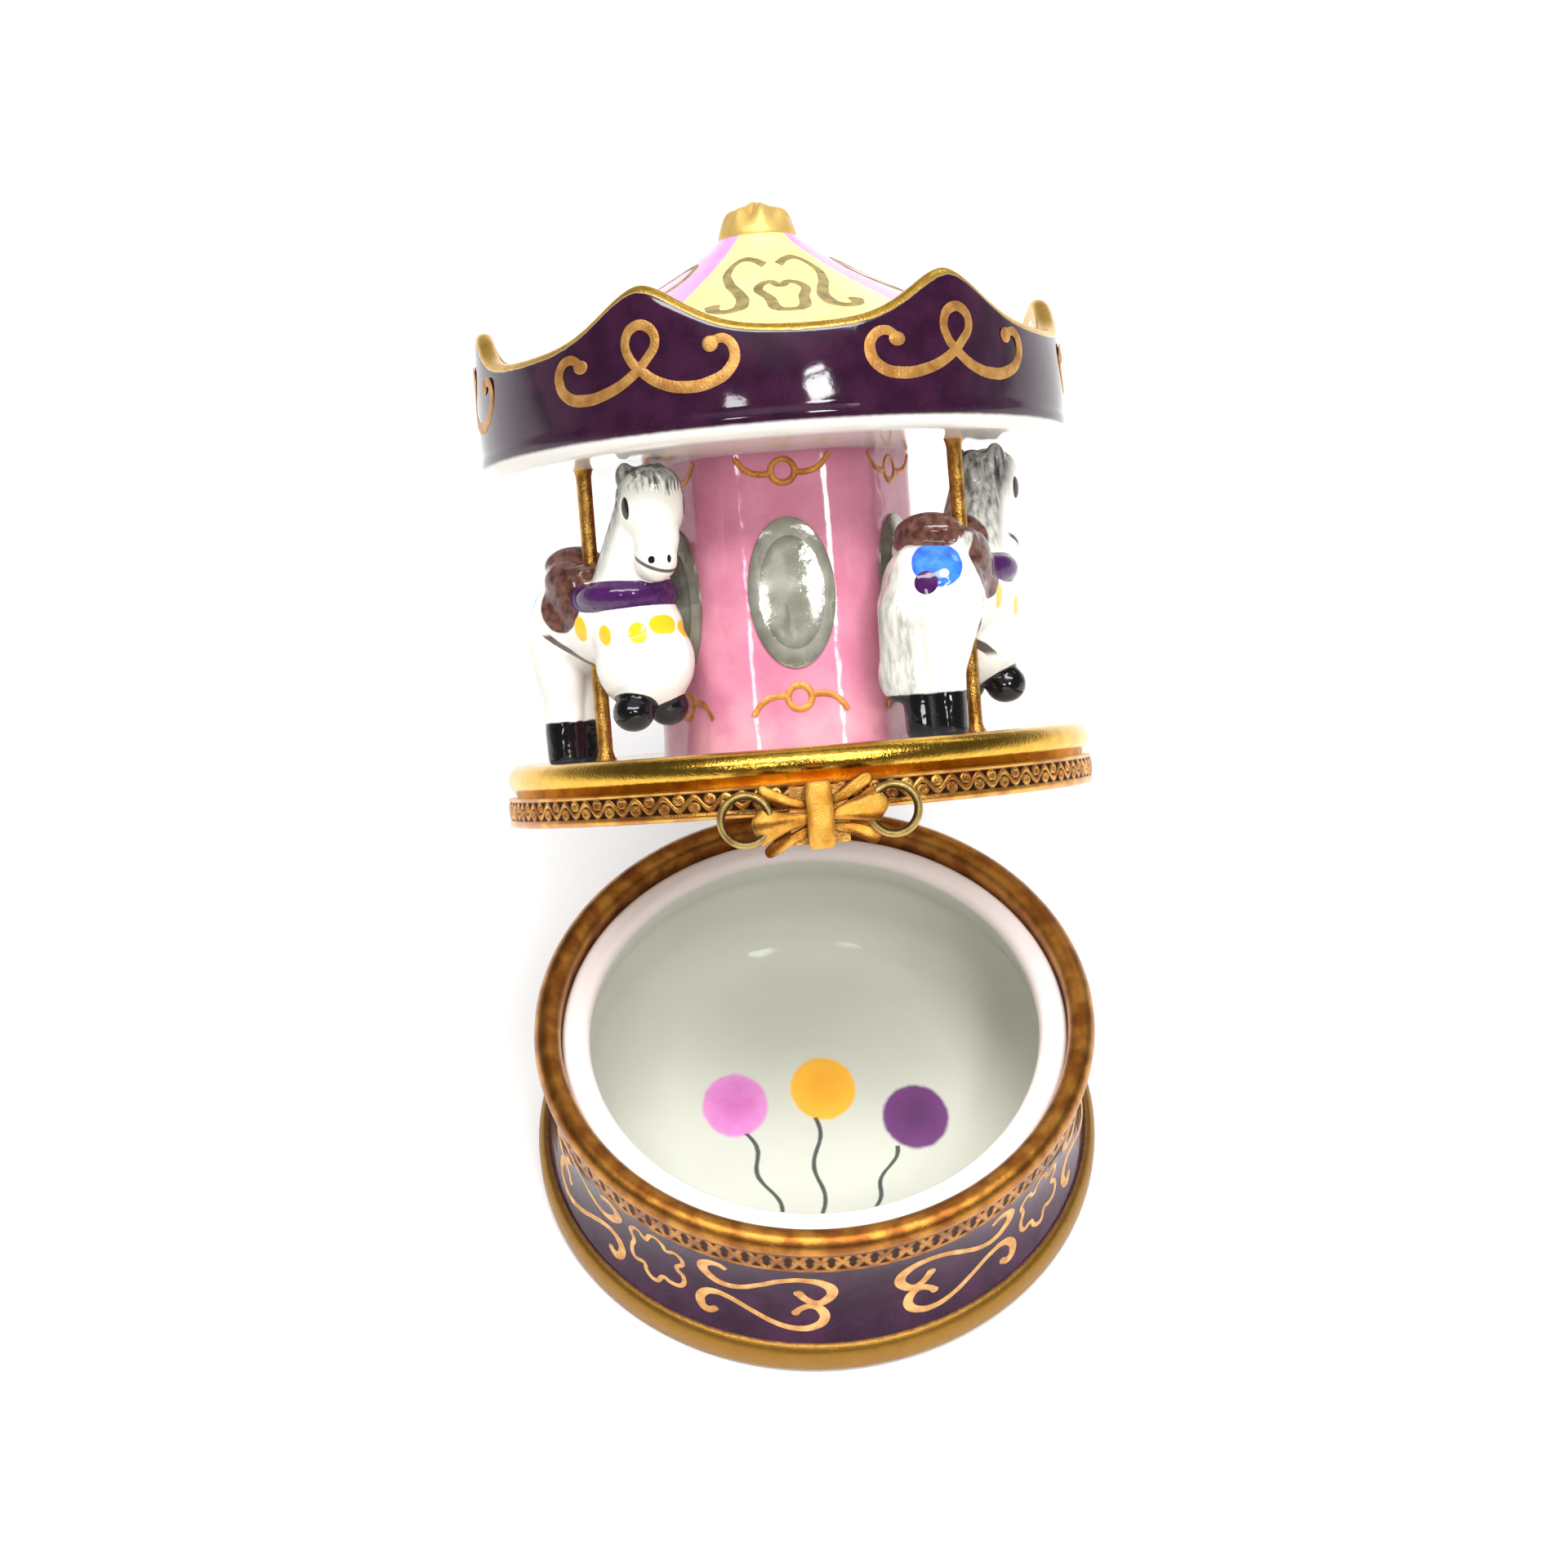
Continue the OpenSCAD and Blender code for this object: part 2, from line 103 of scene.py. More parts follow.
class Flow:
    # one value, colour or vector on its way through a material's nodes
    def __init__(self, tree, socket=None):
        self.tree = tree
        self.socket = socket

    def node(self, kind, settings, values, output=0):
        made = self.tree.nodes.new(kind)
        for key, value in settings.items():
            if key == "stops":
                while len(made.color_ramp.elements) < len(value):
                    made.color_ramp.elements.new(0.5)
                for element, (place, colour) in zip(made.color_ramp.elements, value):
                    element.position = place
                    element.color = colour
            else:
                setattr(made, key, value)
        for key, value in values.items():
            if isinstance(value, Flow):
                self.tree.links.new(value.socket, made.inputs[key])
            else:
                made.inputs[key].default_value = value
        return Flow(self.tree, made.outputs[output])

    def math(self, operation, *others):
        values = {i: v for i, v in enumerate((self,) + others)}
        return self.node("ShaderNodeMath", {"operation": operation}, values)

    def __add__(self, other):
        return self.math("ADD", other)

    def __radd__(self, other):
        return self.math("ADD", other)

    def __sub__(self, other):
        return self.math("SUBTRACT", other)

    def __rsub__(self, other):
        return self.node("ShaderNodeMath", {"operation": "SUBTRACT"}, {0: other, 1: self})

    def __mul__(self, other):
        return self.math("MULTIPLY", other)

    def __rmul__(self, other):
        return self.math("MULTIPLY", other)

    def __truediv__(self, other):
        return self.math("DIVIDE", other)

    def __abs__(self):
        return self.math("ABSOLUTE")

    def atLeast(self, other):
        return self.math("MAXIMUM", other)

    def atMost(self, other):
        return self.math("MINIMUM", other)

    def step(self, low, high):
        # 0 below low, 1 above high, smooth between; low may be the larger
        values = {"Value": self, "From Min": low, "From Max": high}
        return self.node("ShaderNodeMapRange", {"interpolation_type": "SMOOTHSTEP"}, values)

    def vector(self, operation, other, output=0):
        return self.node("ShaderNodeVectorMath", {"operation": operation}, {0: self, 1: other}, output)

    def length(self):
        return self.node("ShaderNodeVectorMath", {"operation": "LENGTH"}, {0: self}, "Value")

    def axes(self):
        made = self.tree.nodes.new("ShaderNodeSeparateXYZ")
        self.tree.links.new(self.socket, made.inputs[0])
        return [Flow(self.tree, s) for s in made.outputs]

    def blend(self, low, high):
        # this value mixes from the colour low to the colour high
        return self.node("ShaderNodeMix", {"data_type": "RGBA"}, {0: self, 6: low, 7: high}, 2)

    def noise(self, scale, detail=3, rough=0.5):
        values = {"Vector": self, "Scale": scale, "Detail": detail, "Roughness": rough}
        return self.node("ShaderNodeTexNoise", {}, values, "Fac")

    def near(self, centre, radii):
        # how far this point is from a centre, 1 on an ellipsoid of those radii
        away = self.vector("SUBTRACT", centre)
        return away.vector("DIVIDE", radii).length()


def tone(red, green, blue):
    # a screen colour, 0 to 255, as a linear one
    linear = [c / 3294.6 if c < 10.3 else ((c / 255 + 0.055) / 1.055) ** 2.4 for c in (red, green, blue)]
    return (*linear, 1)


def finish(name):
    made = bpy.data.materials.new(name)
    made.use_nodes = True
    shader = made.node_tree.nodes["Principled BSDF"]
    return made, shader, Flow(made.node_tree)


def feed(flow, shader, **links):
    names = {"colour": "Base Color", "rough": "Roughness", "metal": "Metallic", "normal": "Normal"}
    for key, value in links.items():
        socket = shader.inputs[names[key]]
        if isinstance(value, Flow):
            flow.tree.links.new(value.socket, socket)
        else:
            socket.default_value = value


def bump(flow, height, distance, strength=1):
    values = {"Height": height, "Distance": distance * mm, "Strength": strength}
    return flow.node("ShaderNodeBump", {}, values)


def basePoint(flow):
    # object coordinates in millimetres
    place = flow.node("ShaderNodeTexCoord", {}, {}, "Object")
    return place.node("ShaderNodeMapping", {}, {"Vector": place, "Scale": (1000, 1000, 1000)})


def lidPoint(flow):
    # the lid's own upright coordinates in millimetres, turned back from the open place
    place = flow.node("ShaderNodeTexCoord", {}, {}, "Object")
    turn = Matrix.Rotation(openAngle, 4, "X")
    shift = (Vector((0, hingePoint.y, 0)) - turn @ hingePoint) / mm
    values = {"Vector": place, "Scale": (1000, 1000, 1000), "Rotation": (openAngle, 0, 0), "Location": shift}
    return place.node("ShaderNodeMapping", {}, values)


purple = tone(54, 22, 46)
purpleDeep = tone(38, 14, 34)
giltLight = tone(238, 196, 84)
giltDeep = tone(190, 134, 44)


def giltLook(point):
    # brushed-on gold: uneven colour and shine, and a faintly lumpy surface
    patches = point.noise(0.9, 4)
    strokes = point.noise(5, 3)
    colour = patches.blend(giltDeep, giltLight)
    rough = strokes * 0.22 + 0.12
    return colour, rough, strokes + patches


def makeGilt(name, onLid, light=giltLight, deep=giltDeep, rough=0.16, lumps=0.05, metal=1):
    made, shader, flow = finish(name)
    point = lidPoint(flow) if onLid else basePoint(flow)
    patches = point.noise(0.8, 4)
    strokes = point.noise(6, 3)
    colour = patches.step(0.3, 0.7).blend(deep, light)
    feed(flow, shader, colour=colour, metal=metal, rough=strokes * 0.25 + rough,
         normal=bump(flow, strokes + patches, lumps))
    return made


def makeBrass(name, onLid, light, deep, hollowShade, rough=0.2, relief=0.12):
    # chased brass: the metal's own colour on the high places, painted shade in the hollows, which an
    # attribute marks
    made, shader, flow = finish(name)
    point = lidPoint(flow) if onLid else basePoint(flow)
    high = flow.node("ShaderNodeAttribute", {"attribute_name": "relief"}, {}, "Fac")
    patches = point.noise(0.5, 4)
    grain = point.noise(9, 4)
    metal = patches.step(0.35, 0.65).blend(deep, light)
    # painted shade: low attribute values blend towards the dark hollow colour
    shade = (high + (grain - 0.5) * 0.5).step(0.12, 0.6)
    feed(flow, shader, colour=shade.blend(hollowShade, metal), metal=0.88,
         rough=(1 - shade) * 0.3 + grain * 0.2 + rough, normal=bump(flow, grain, relief * 0.3))
    return made


# shaping helpers

def named(name):
    piece = bpy.context.object
    piece.name = name
    piece.data.name = name
    return piece


def clear():
    bpy.ops.object.select_all(action="DESELECT")


def editAll(*steps):
    bpy.ops.object.mode_set(mode="EDIT")
    bpy.ops.mesh.select_all(action="SELECT")
    for step in steps:
        step()
    bpy.ops.object.mode_set(mode="OBJECT")


def outward():
    bpy.ops.mesh.remove_doubles(threshold=0.004 * mm)
    bpy.ops.mesh.normals_make_consistent(inside=False)


def smoothBy(piece, degrees):
    clear()
    piece.select_set(True)
    bpy.context.view_layer.objects.active = piece
    bpy.ops.object.shade_smooth_by_angle(angle=math.radians(degrees))


def points(piece):
    co = np.empty(len(piece.data.vertices) * 3)
    piece.data.vertices.foreach_get("co", co)
    return co.reshape(-1, 3) / mm


def setPoints(piece, co):
    piece.data.vertices.foreach_set("co", (co * mm).ravel())
    piece.data.update()


def mark(piece, name, values):
    # keeps a value at each point for the material to read
    made = piece.data.attributes.new(name, "FLOAT", "POINT")
    made.data.foreach_set("value", values)


def swung(co, angle):
    # points turned about the upright axis
    x, y = co[:, 0], co[:, 1]
    c, s = math.cos(angle), math.sin(angle)
    return np.stack([x * c - y * s, x * s + y * c, co[:, 2]], 1)


def turned(name, outline, steps, filled=True):
    # a circle drawn up ring by ring along an outline of (radius, height) in millimetres
    clear()
    radius, height = outline[0]
    bpy.ops.mesh.primitive_circle_add(vertices=steps, radius=radius * mm,
                                      fill_type="TRIFAN" if filled else "NOTHING")
    piece = named(name)
    bpy.ops.object.mode_set(mode="EDIT")
    bpy.ops.mesh.select_all(action="SELECT")
    bpy.ops.transform.translate(value=(0, 0, height * mm))
    for (r0, z0), (r1, z1) in zip(outline, outline[1:]):
        bpy.ops.mesh.extrude_region_move(TRANSFORM_OT_translate={"value": (0, 0, (z1 - z0) * mm)})
        bpy.ops.transform.resize(value=(r1 / r0, r1 / r0, 1), center_override=(0, 0, z1 * mm))
    bpy.ops.object.mode_set(mode="OBJECT")
    editAll(outward)
    return piece


def arc(r, z, radius, start, end, steps):
    # points round a corner in an outline, angles in degrees from outwards, upwards positive
    turn = [math.radians(start + (end - start) * i / steps) for i in range(steps + 1)]
    return [(r + radius * math.cos(a), z + radius * math.sin(a)) for a in turn]


def place(piece, body, material, slot, *nodes):
    if body == "lid":
        piece.data.transform(lidPlace)
    piece.data.materials.clear()
    piece.data.materials.append(material)
    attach(piece, body)
    if nodes:
        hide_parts(*nodes)
    return piece


def copied(piece, name):
    other = piece.copy()
    other.data = piece.data.copy()
    other.name = name
    other.data.name = name
    bpy.context.scene.collection.objects.link(other)
    return other


def joined(name, pieces):
    clear()
    for piece in pieces:
        piece.select_set(True)
    bpy.context.view_layer.objects.active = pieces[0]
    bpy.ops.object.join()
    return named(name)


def stroke(name, path, widths, flatness, closed=False, sides=3):
    # a painted line: a smooth curve through a few points (x, z), thick and thin, pressed flat
    clear()
    bpy.ops.curve.primitive_bezier_curve_add(radius=1)
    piece = named(name)
    curve = piece.data
    spline = curve.splines[0]
    spline.bezier_points.add(len(path) - 2)
    for knot, (x, z), width in zip(spline.bezier_points, path, widths):
        knot.co = (x * mm, 0, z * mm)
        knot.handle_left_type = "AUTO"
        knot.handle_right_type = "AUTO"
        knot.radius = width / 2
    spline.use_cyclic_u = closed
    spline.resolution_u = 6
    curve.dimensions = "3D"
    curve.bevel_depth = mm
    curve.bevel_resolution = sides
    curve.use_fill_caps = True
    bpy.ops.object.convert(target="MESH")
    piece = bpy.context.object
    co = points(piece)
    co[:, 1] *= flatness
    setPoints(piece, co)
    return piece


def dab(name, x, z, width, height, flatness):
    # a round drop of paint at the end of a line
    clear()
    bpy.ops.mesh.primitive_uv_sphere_add(segments=16, ring_count=8, radius=mm)
    piece = named(name)
    co = points(piece)
    co *= (width / 2, flatness * min(width, height) / 2, height / 2)
    co += (x, 0, z)
    setPoints(piece, co)
    return piece


# bowl

bowl = {"waist": 0.55, "footHeight": 3.3, "footRound": 0.8, "floor": 3.2, "lip": 2.6, "lipRound": 0.9,
        "fillet": 5, "innerNeck": 2.4, "steps": 192}


def wallR(z):
    # radius of the waisted wall at a height
    t = (z - bowl["footHeight"]) / (shoulderZ - bowl["footHeight"])
    return collarR - 0.1 - 0.6 * t - 4 * bowl["waist"] * t * (1 - t)


def makeBowlGlaze():
    made, shader, flow = finish("bowlGlaze")
    point = basePoint(flow)
    x, y, z = point.axes()
    reach = (x * x + y * y).math("SQRT")
    wobble = point.noise(1.2, 2) - 0.5
    outside = reach.step(collarR - 2.45, collarR - 2.35)
    foot = (z + wobble * 0.12).step(bowl["footHeight"] + 0.1, bowl["footHeight"] - 0.1) * outside
    gilt = foot * z.step(0.02, 0.15)
    wall = outside * z.step(shoulderZ + 0.6, shoulderZ + 0.3) * z.step(0.3, 0.5)
    cloud = point.noise(0.35, 4)
    depth = (cloud + (point.noise(4, 4) - 0.5) * 0.5).step(0.3, 0.75)
    purpleGlaze = depth.blend(tone(48, 20, 44), tone(70, 32, 62))
    white = point.noise(0.08, 2).blend(tone(202, 204, 193), tone(216, 217, 206))
    lip = z.step(lipTop - 1.2, lipTop - 0.5) * (1 - outside)
    white = lip.blend(white, tone(240, 228, 226))
    # three balloons on the floor, their strings running to the front
    inside = reach.step(collarR - 5.5, collarR - 6) * z.step(bowl["floor"] + 1.5, bowl["floor"] + 0.5)
    colour = white
    for cx, cy, hue, deep in balloons:
        away = point.vector("MULTIPLY", (1, 1, 0)).near((cx, cy, 0), (3.2, 3.8, 1))
        disc = (away + wobble * 0.08).step(1.04, 0.9) * inside
        body = (away * 0.6 + point.noise(0.8, 3) * 0.5).step(0.2, 1).blend(deep, hue)
        colour = (disc * 0.94).blend(colour, body)
    for cx, cy, lean, sway in strings:
        drop = (cy - y) / (cy + 11.8)
        bend = (drop * 9.5).math("SINE") * sway + drop * lean + cx
        line = (abs(x - bend) + wobble * 0.12).step(0.3, 0.12) * drop.step(0, 0.02)
        line = line * inside * y.step(-15, -14)
        colour = (line * 0.9).blend(colour, tone(48, 54, 52))
    colour = wall.blend(colour, purpleGlaze)
    giltColour, giltRough, giltLumps = giltLook(point)
    # the foot's gold is duller, and faint throwing rings run round inside
    giltColour = (reach.step(collarR - 3, collarR - 2) * 0.8).blend(giltColour, tone(132, 92, 42))
    colour = gilt.blend(colour, giltColour)
    rough = gilt * (giltRough + 0.1) + 0.08
    rings = (reach * 2.6 + wobble * 2).math("SINE") * reach.step(collarR - 4.5, collarR - 6) * 0.25
    lumps = gilt * giltLumps * 0.6 + point.noise(0.5, 2) * 0.7 + rings
    feed(flow, shader, colour=colour, metal=gilt * 0.85, rough=rough, normal=bump(flow, lumps, 0.05))
    shader.inputs["Specular IOR Level"].default_value = 0.12
    return made


balloons = [(-7.6, 1.6, tone(226, 142, 208), tone(206, 104, 184)),
            (0.9, 2.7, tone(252, 186, 48), tone(244, 168, 16)),
            (9.3, -1.5, tone(112, 44, 120), tone(84, 20, 92))]
strings = [(-6.9, -1.7, 2.6, 0.5), (-0.2, -0.5, -0.4, 0.42), (7.2, -4.6, -3.2, 0.35)]


def makeBowl():
    s = bowl
    neck = collarR - s["innerNeck"]
    lipIn = neck - s["lip"]
    belly = lipIn + 1
    half = s["footHeight"] / 2
    outline = [(20, 0), (footR - s["footRound"] - 0.2, 0)]
    outline += arc(footR - s["footRound"], s["footRound"], s["footRound"], -80, 0, 5)
    outline += [(footR - (1 - math.cos(a)) * (footR - collarR + 0.1), half + half * math.sin(a))
                for a in np.linspace(0.05, math.pi / 2, 8)]
    outline += [(wallR(z), z) for z in np.linspace(s["footHeight"] + 0.25, shoulderZ, 16)]
    outline += [(neck, shoulderZ + 0.02)]
    edge = s["lipRound"]
    quarter = np.linspace(0, math.pi / 2, 7)
    outline += [(neck - edge + edge * math.cos(a), lipTop - edge * (1 - math.sin(a))) for a in quarter]
    outline += [(lipIn + edge * (1 - math.sin(a)), lipTop - edge * (1 - math.cos(a))) for a in quarter]
    outline += [(lipIn + (belly - lipIn) * (1 - math.cos(a)) / 2, lipTop - 1.3 - 4 * a / math.pi)
                for a in np.linspace(0, math.pi, 10)]
    outline += [(belly - s["fillet"] * (1 - math.cos(a)), s["floor"] + s["fillet"] * (1 - math.sin(a)))
                for a in np.linspace(0, math.pi / 2, 12)]
    outline += [(r, s["floor"]) for r in (13, 9, 5, 1)]
    piece = turned("bowl_shell", outline, s["steps"])
    smoothBy(piece, 40)
    place(piece, "base", makeBowlGlaze(), "painted_porcelain", "bowl")
    print("bowl turned")


# collars

collars = {"steps": 1200, "roll": 1.2, "chase": 0.16, "diamonds": 84, "curls": 60, "notchWidth": 14.8,
           "notchRound": 1.45}


def chaseLattice(turn, up):
    # crossing lines with a small boss in each diamond, up runs 0 to 1 over the band
    across = turn * collars["diamonds"] / (2 * math.pi)
    one = np.abs(((across + up * 0.9) % 1) - 0.5)
    two = np.abs(((across - up * 0.9) % 1) - 0.5)
    lines = np.exp(-(np.minimum(one, two) / 0.13) ** 2)
    leaf = np.exp(-(((across * 2) % 1 - 0.5) / 0.2) ** 2) * np.exp(-((up - 0.5) / 0.18) ** 2)
    return np.maximum(lines, 0.7 * leaf)


def chaseScroll(turn, up):
    # a running vine: a waving stem with a curl in every hollow, between two plain edges
    across = turn * collars["curls"] / (2 * math.pi)
    mid = (up - 0.5) * 2
    stem = np.exp(-((mid - 0.5 * np.sin(2 * math.pi * across)) / 0.2) ** 2)
    curls = np.zeros_like(stem)
    for phase, side in ((0.25, -1), (0.75, 1)):
        dx = ((across - phase + 0.5) % 1 - 0.5) * 2.2
        dz = mid - side * 0.32
        ring = np.hypot(dx, dz)
        curls = np.maximum(curls, np.exp(-((ring - 0.3) / 0.11) ** 2))
        curls = np.maximum(curls, 0.9 * np.exp(-(ring / 0.12) ** 2))
    return np.maximum(stem, curls)


def relief(piece, low, high, chase, depth):
    # presses a chased pattern into the outer band between two heights, and keeps it as an attribute
    co = points(piece)
    reach = np.hypot(co[:, 0], co[:, 1])
    turn = np.arctan2(co[:, 1], co[:, 0])
    up = (co[:, 2] - low) / (high - low)
    band = (up > 0.001) & (up < 0.999) & (reach > collarR - 1.4)
    edge = np.clip(np.minimum(up, 1 - up) / 0.14, 0, 1)
    raised = np.where(edge < 1, np.maximum(chase(turn, up) * edge, 1 - edge), chase(turn, up))
    push = np.where(band, (raised - 1) * depth, 0)
    co[:, 0] += np.cos(turn) * push
    co[:, 1] += np.sin(turn) * push
    setPoints(piece, co)
    # the kept heights also drive the painted shade in the hollows
    mark(piece, "relief", np.where(band, raised, 1.0))


def notch(piece, height):
    # clears the back of a collar for the hinge knuckles
    co = points(piece)
    radius = collars["notchRound"]
    away = np.hypot(co[:, 1] - hingePoint.y / mm, co[:, 2] - height)
    near = (np.abs(co[:, 0]) < collars["notchWidth"] / 2) & (co[:, 1] > 0) & (away < radius)
    co[near, 1] -= (np.sqrt(np.maximum(radius ** 2 - (co[near, 2] - height) ** 2, 0))
                    - (hingePoint.y / mm - co[near, 1]))
    setPoints(piece, co)


def makeCollars():
    s = collars
    inner = collarR - 2.4
    # the darkest colour of each brass is painted shade for the hollows
    brassLook = makeBrass("baseBrass", False, tone(186, 128, 54), tone(138, 82, 32), tone(56, 24, 10), 0.13)
    # base: a rolled rim over a chased band
    rollZ = baseTop - s["roll"]
    bandTop = baseTop - 2 * s["roll"] + 0.35
    outline = [(inner, shoulderZ), (collarR - 0.62, shoulderZ)]
    bandLow = shoulderZ + 0.06
    outline += [(collarR - 0.58 + 0.28 * t, bandLow + (bandTop - shoulderZ - 0.06) * t)
                for t in np.linspace(0, 1, 15)]
    outline += arc(collarR - s["roll"], rollZ, s["roll"], -40, 180, 16)
    outline += [(inner, rollZ - 0.4), (inner, shoulderZ)]
    piece = turned("base_collar_ring", outline, s["steps"], filled=False)
    relief(piece, shoulderZ + 0.05, bandTop, chaseLattice, s["chase"])
    notch(piece, hingePoint.z / mm)
    smoothBy(piece, 50)
    place(piece, "base", brassLook, "collar_brass", "base_collar")
    # lid: one flat band with the running scroll
    lidLook = makeBrass("lidBrass", True, tone(226, 168, 80), tone(186, 120, 54), tone(52, 24, 10), 0.14)
    outline = [(inner, lidLow)]
    outline += arc(collarR - 0.4, lidLow + 0.4, 0.4, -90, 0, 4)
    outline += [(collarR, z) for z in np.linspace(lidLow + 0.45, lidTop - 0.12, 15)]
    outline += [(collarR - 0.1, lidTop), (inner, lidTop), (inner, lidLow)]
    piece = turned("lid_collar_ring", outline, s["steps"], filled=False)
    relief(piece, lidLow + 0.42, lidTop - 0.1, chaseScroll, s["chase"])
    notch(piece, 0)
    smoothBy(piece, 50)
    place(piece, "lid", lidLook, "collar_brass", "lid_collar")
    print("collars chased")


# deck

deck = {"rim": 1.25, "vent": 1.2, "skirt": 2.5, "under": 2.2, "steps": 192}


def makeDeckGlaze():
    made, shader, flow = finish("deckGlaze")
    point = lidPoint(flow)
    x, y, z = point.axes()
    reach = (x * x + y * y).math("SQRT")
    wobble = (point.noise(1.1, 2) - 0.5) * 0.3
    gilt = (reach + wobble).step(deckR - 2.1, deckR - 1.95) * z.step(lidTop - 0.1, lidTop)
    giltColour, giltRough, giltLumps = giltLook(point)
    white = point.noise(0.1, 2).blend(tone(222, 222, 214), tone(238, 237, 230))
    feed(flow, shader, colour=gilt.blend(white, giltColour), metal=gilt,
         rough=gilt * (giltRough * 0.6 - 0.02) + 0.08,
         normal=bump(flow, giltLumps * gilt + point.noise(0.4, 2), 0.03))
    return made


def makeDeck():
    s = deck
    inner = collarR - 2.4
    skirtIn = inner - s["skirt"]
    ceiling = s["under"]
    outline = [(s["vent"], ceiling), (skirtIn - 1, ceiling)]
    outline += arc(skirtIn - 1, ceiling - 1, 1, 90, 0, 5)
    outline += [(skirtIn, deckLow + 0.3), (skirtIn + 0.3, deckLow), (inner - 0.3, deckLow),
                (inner - 0.02, deckLow + 0.3)]
    outline += [(inner - 0.02, lidTop), (deckR - 0.75, lidTop + 0.01), (deckR - 0.65, lidTop + 0.2)]
    outline += arc(deckR - s["rim"], deckTop + 0.1 - s["rim"], s["rim"], -52, 100, 16)
    outline += [(deckR - 2.1, deckTop), (18, deckTop), (10, deckTop), (s["vent"], deckTop),
                (s["vent"], ceiling)]
    piece = turned("deck_plate", outline, s["steps"], filled=False)
    smoothBy(piece, 40)
    place(piece, "lid", makeDeckGlaze(), "deck_porcelain", "lid_deck")
    print("deck turned")


# column and mirrors

column = {"corner": 3.2, "segments": 14, "flare": 0.08, "rows": 12}


def makeColumnGlaze():
    made, shader, flow = finish("columnGlaze")
    point = lidPoint(flow)
    z = point.axes()[2]
    soft = point.noise(0.25, 2)
    fine = point.noise(2.2, 4)
    colour = (soft * 0.8 + fine * 0.2).step(0.2, 0.8).blend(tone(190, 112, 138), tone(212, 140, 162))
    # paler and warmer towards the deck, in patches
    colour = (z.step(deckTop + 6, deckTop + 1) * 0.4 * soft.step(0.3, 0.6)).blend(colour, tone(232, 172, 168))
    feed(flow, shader, colour=colour, rough=fine * 0.05 + 0.06,
         normal=bump(flow, soft * 1.5 + fine * 0.05, 0.08))
    return made


def makeColumn():
    s = column
    clear()
    height = soffit - deckTop
    corner = columnFlat / math.cos(math.pi / 6)
    bpy.ops.mesh.primitive_cylinder_add(vertices=6, radius=corner * mm, depth=height * mm)
    piece = named("column_body")
    bpy.ops.object.mode_set(mode="EDIT")
    bpy.ops.mesh.select_all(action="SELECT")
    bpy.ops.transform.translate(value=(0, 0, (deckTop + height / 2) * mm))
    bpy.ops.object.mode_set(mode="OBJECT")
    # corners on the X axis, as the CAD column has them
    co = points(piece)
    turn = np.arctan2(co[:, 1], co[:, 0])
    start = turn[0]
    shift = round(start / (math.pi / 3)) * (math.pi / 3) - start
    spin = np.array([[math.cos(shift), -math.sin(shift)], [math.sin(shift), math.cos(shift)]])
    co[:, :2] = co[:, :2] @ spin.T
    setPoints(piece, co)
    bpy.ops.object.mode_set(mode="EDIT")
    bpy.ops.mesh.select_mode(type="EDGE")
    bpy.ops.mesh.select_all(action="DESELECT")
    bpy.ops.object.mode_set(mode="OBJECT")
    for edge in piece.data.edges:
        a, b = (piece.data.vertices[i].co for i in edge.vertices)
        edge.select = abs(a.z - b.z) > height * mm / 2
    bpy.ops.object.mode_set(mode="EDIT")
    bpy.ops.mesh.bevel(offset=s["corner"] * mm, segments=s["segments"], affect="EDGES")
    for k in range(1, s["rows"]):
        bpy.ops.mesh.select_all(action="SELECT")
        bpy.ops.mesh.bisect(plane_co=(0, 0, (deckTop + height * k / s["rows"]) * mm), plane_no=(0, 0, 1))
    bpy.ops.mesh.select_mode(type="VERT")
    bpy.ops.object.mode_set(mode="OBJECT")
    co = points(piece)
    t = (co[:, 2] - deckTop) / height
    grow = 1 + (s["flare"] / columnFlat) * (np.exp(-t / 0.05) + np.exp(-(1 - t) / 0.05))
    co[:, :2] *= grow[:, None]
    setPoints(piece, co)
    smoothBy(piece, 40)
    place(piece, "lid", makeColumnGlaze(), "pink_porcelain", "column")
    print("column bevelled")


# rings run inwards over the bevel and the domed glass: size, and height against the thickness
mirror = {"width": 7.3, "height": 12.7, "thick": 0.8, "sink": 0.35, "bevelEnd": 0.745,
          "rings": [(0.975, 0.62), (0.76, 1.1), (0.745, 1.12), (0.6, 1.3), (0.45, 1.42), (0.3, 1.5),
                    (0.15, 1.54)]}


def makeMirrorLook():
    made, shader, flow = finish("mirrorSilver")
    point = lidPoint(flow)
    cloudy = point.noise(0.5, 4)
    specks = point.noise(7, 4)
    colour = (cloudy * 0.8 + specks * 0.2).step(0.3, 0.7).blend(tone(158, 158, 142), tone(196, 196, 182))
    edge = flow.node("ShaderNodeAttribute", {"attribute_name": "rim"}, {}, "Fac")
    # painted shade at the rim and in the bevel's crease
    colour = (edge * 0.7).blend(colour, tone(96, 92, 78))
    # brown patches: a painted reflection
    stretched = point.node("ShaderNodeMapping", {}, {"Vector": point, "Scale": (1.5, 1.5, 0.5)})
    brownReflection = stretched.noise(0.5, 3).step(0.58, 0.7)
    colour = (brownReflection * 0.45).blend(colour, tone(118, 100, 78))
    feed(flow, shader, colour=colour, metal=0.5, rough=cloudy.step(0.35, 0.8) * 0.12 + 0.08,
         normal=bump(flow, cloudy + specks * 0.05, 0.06))
    return made


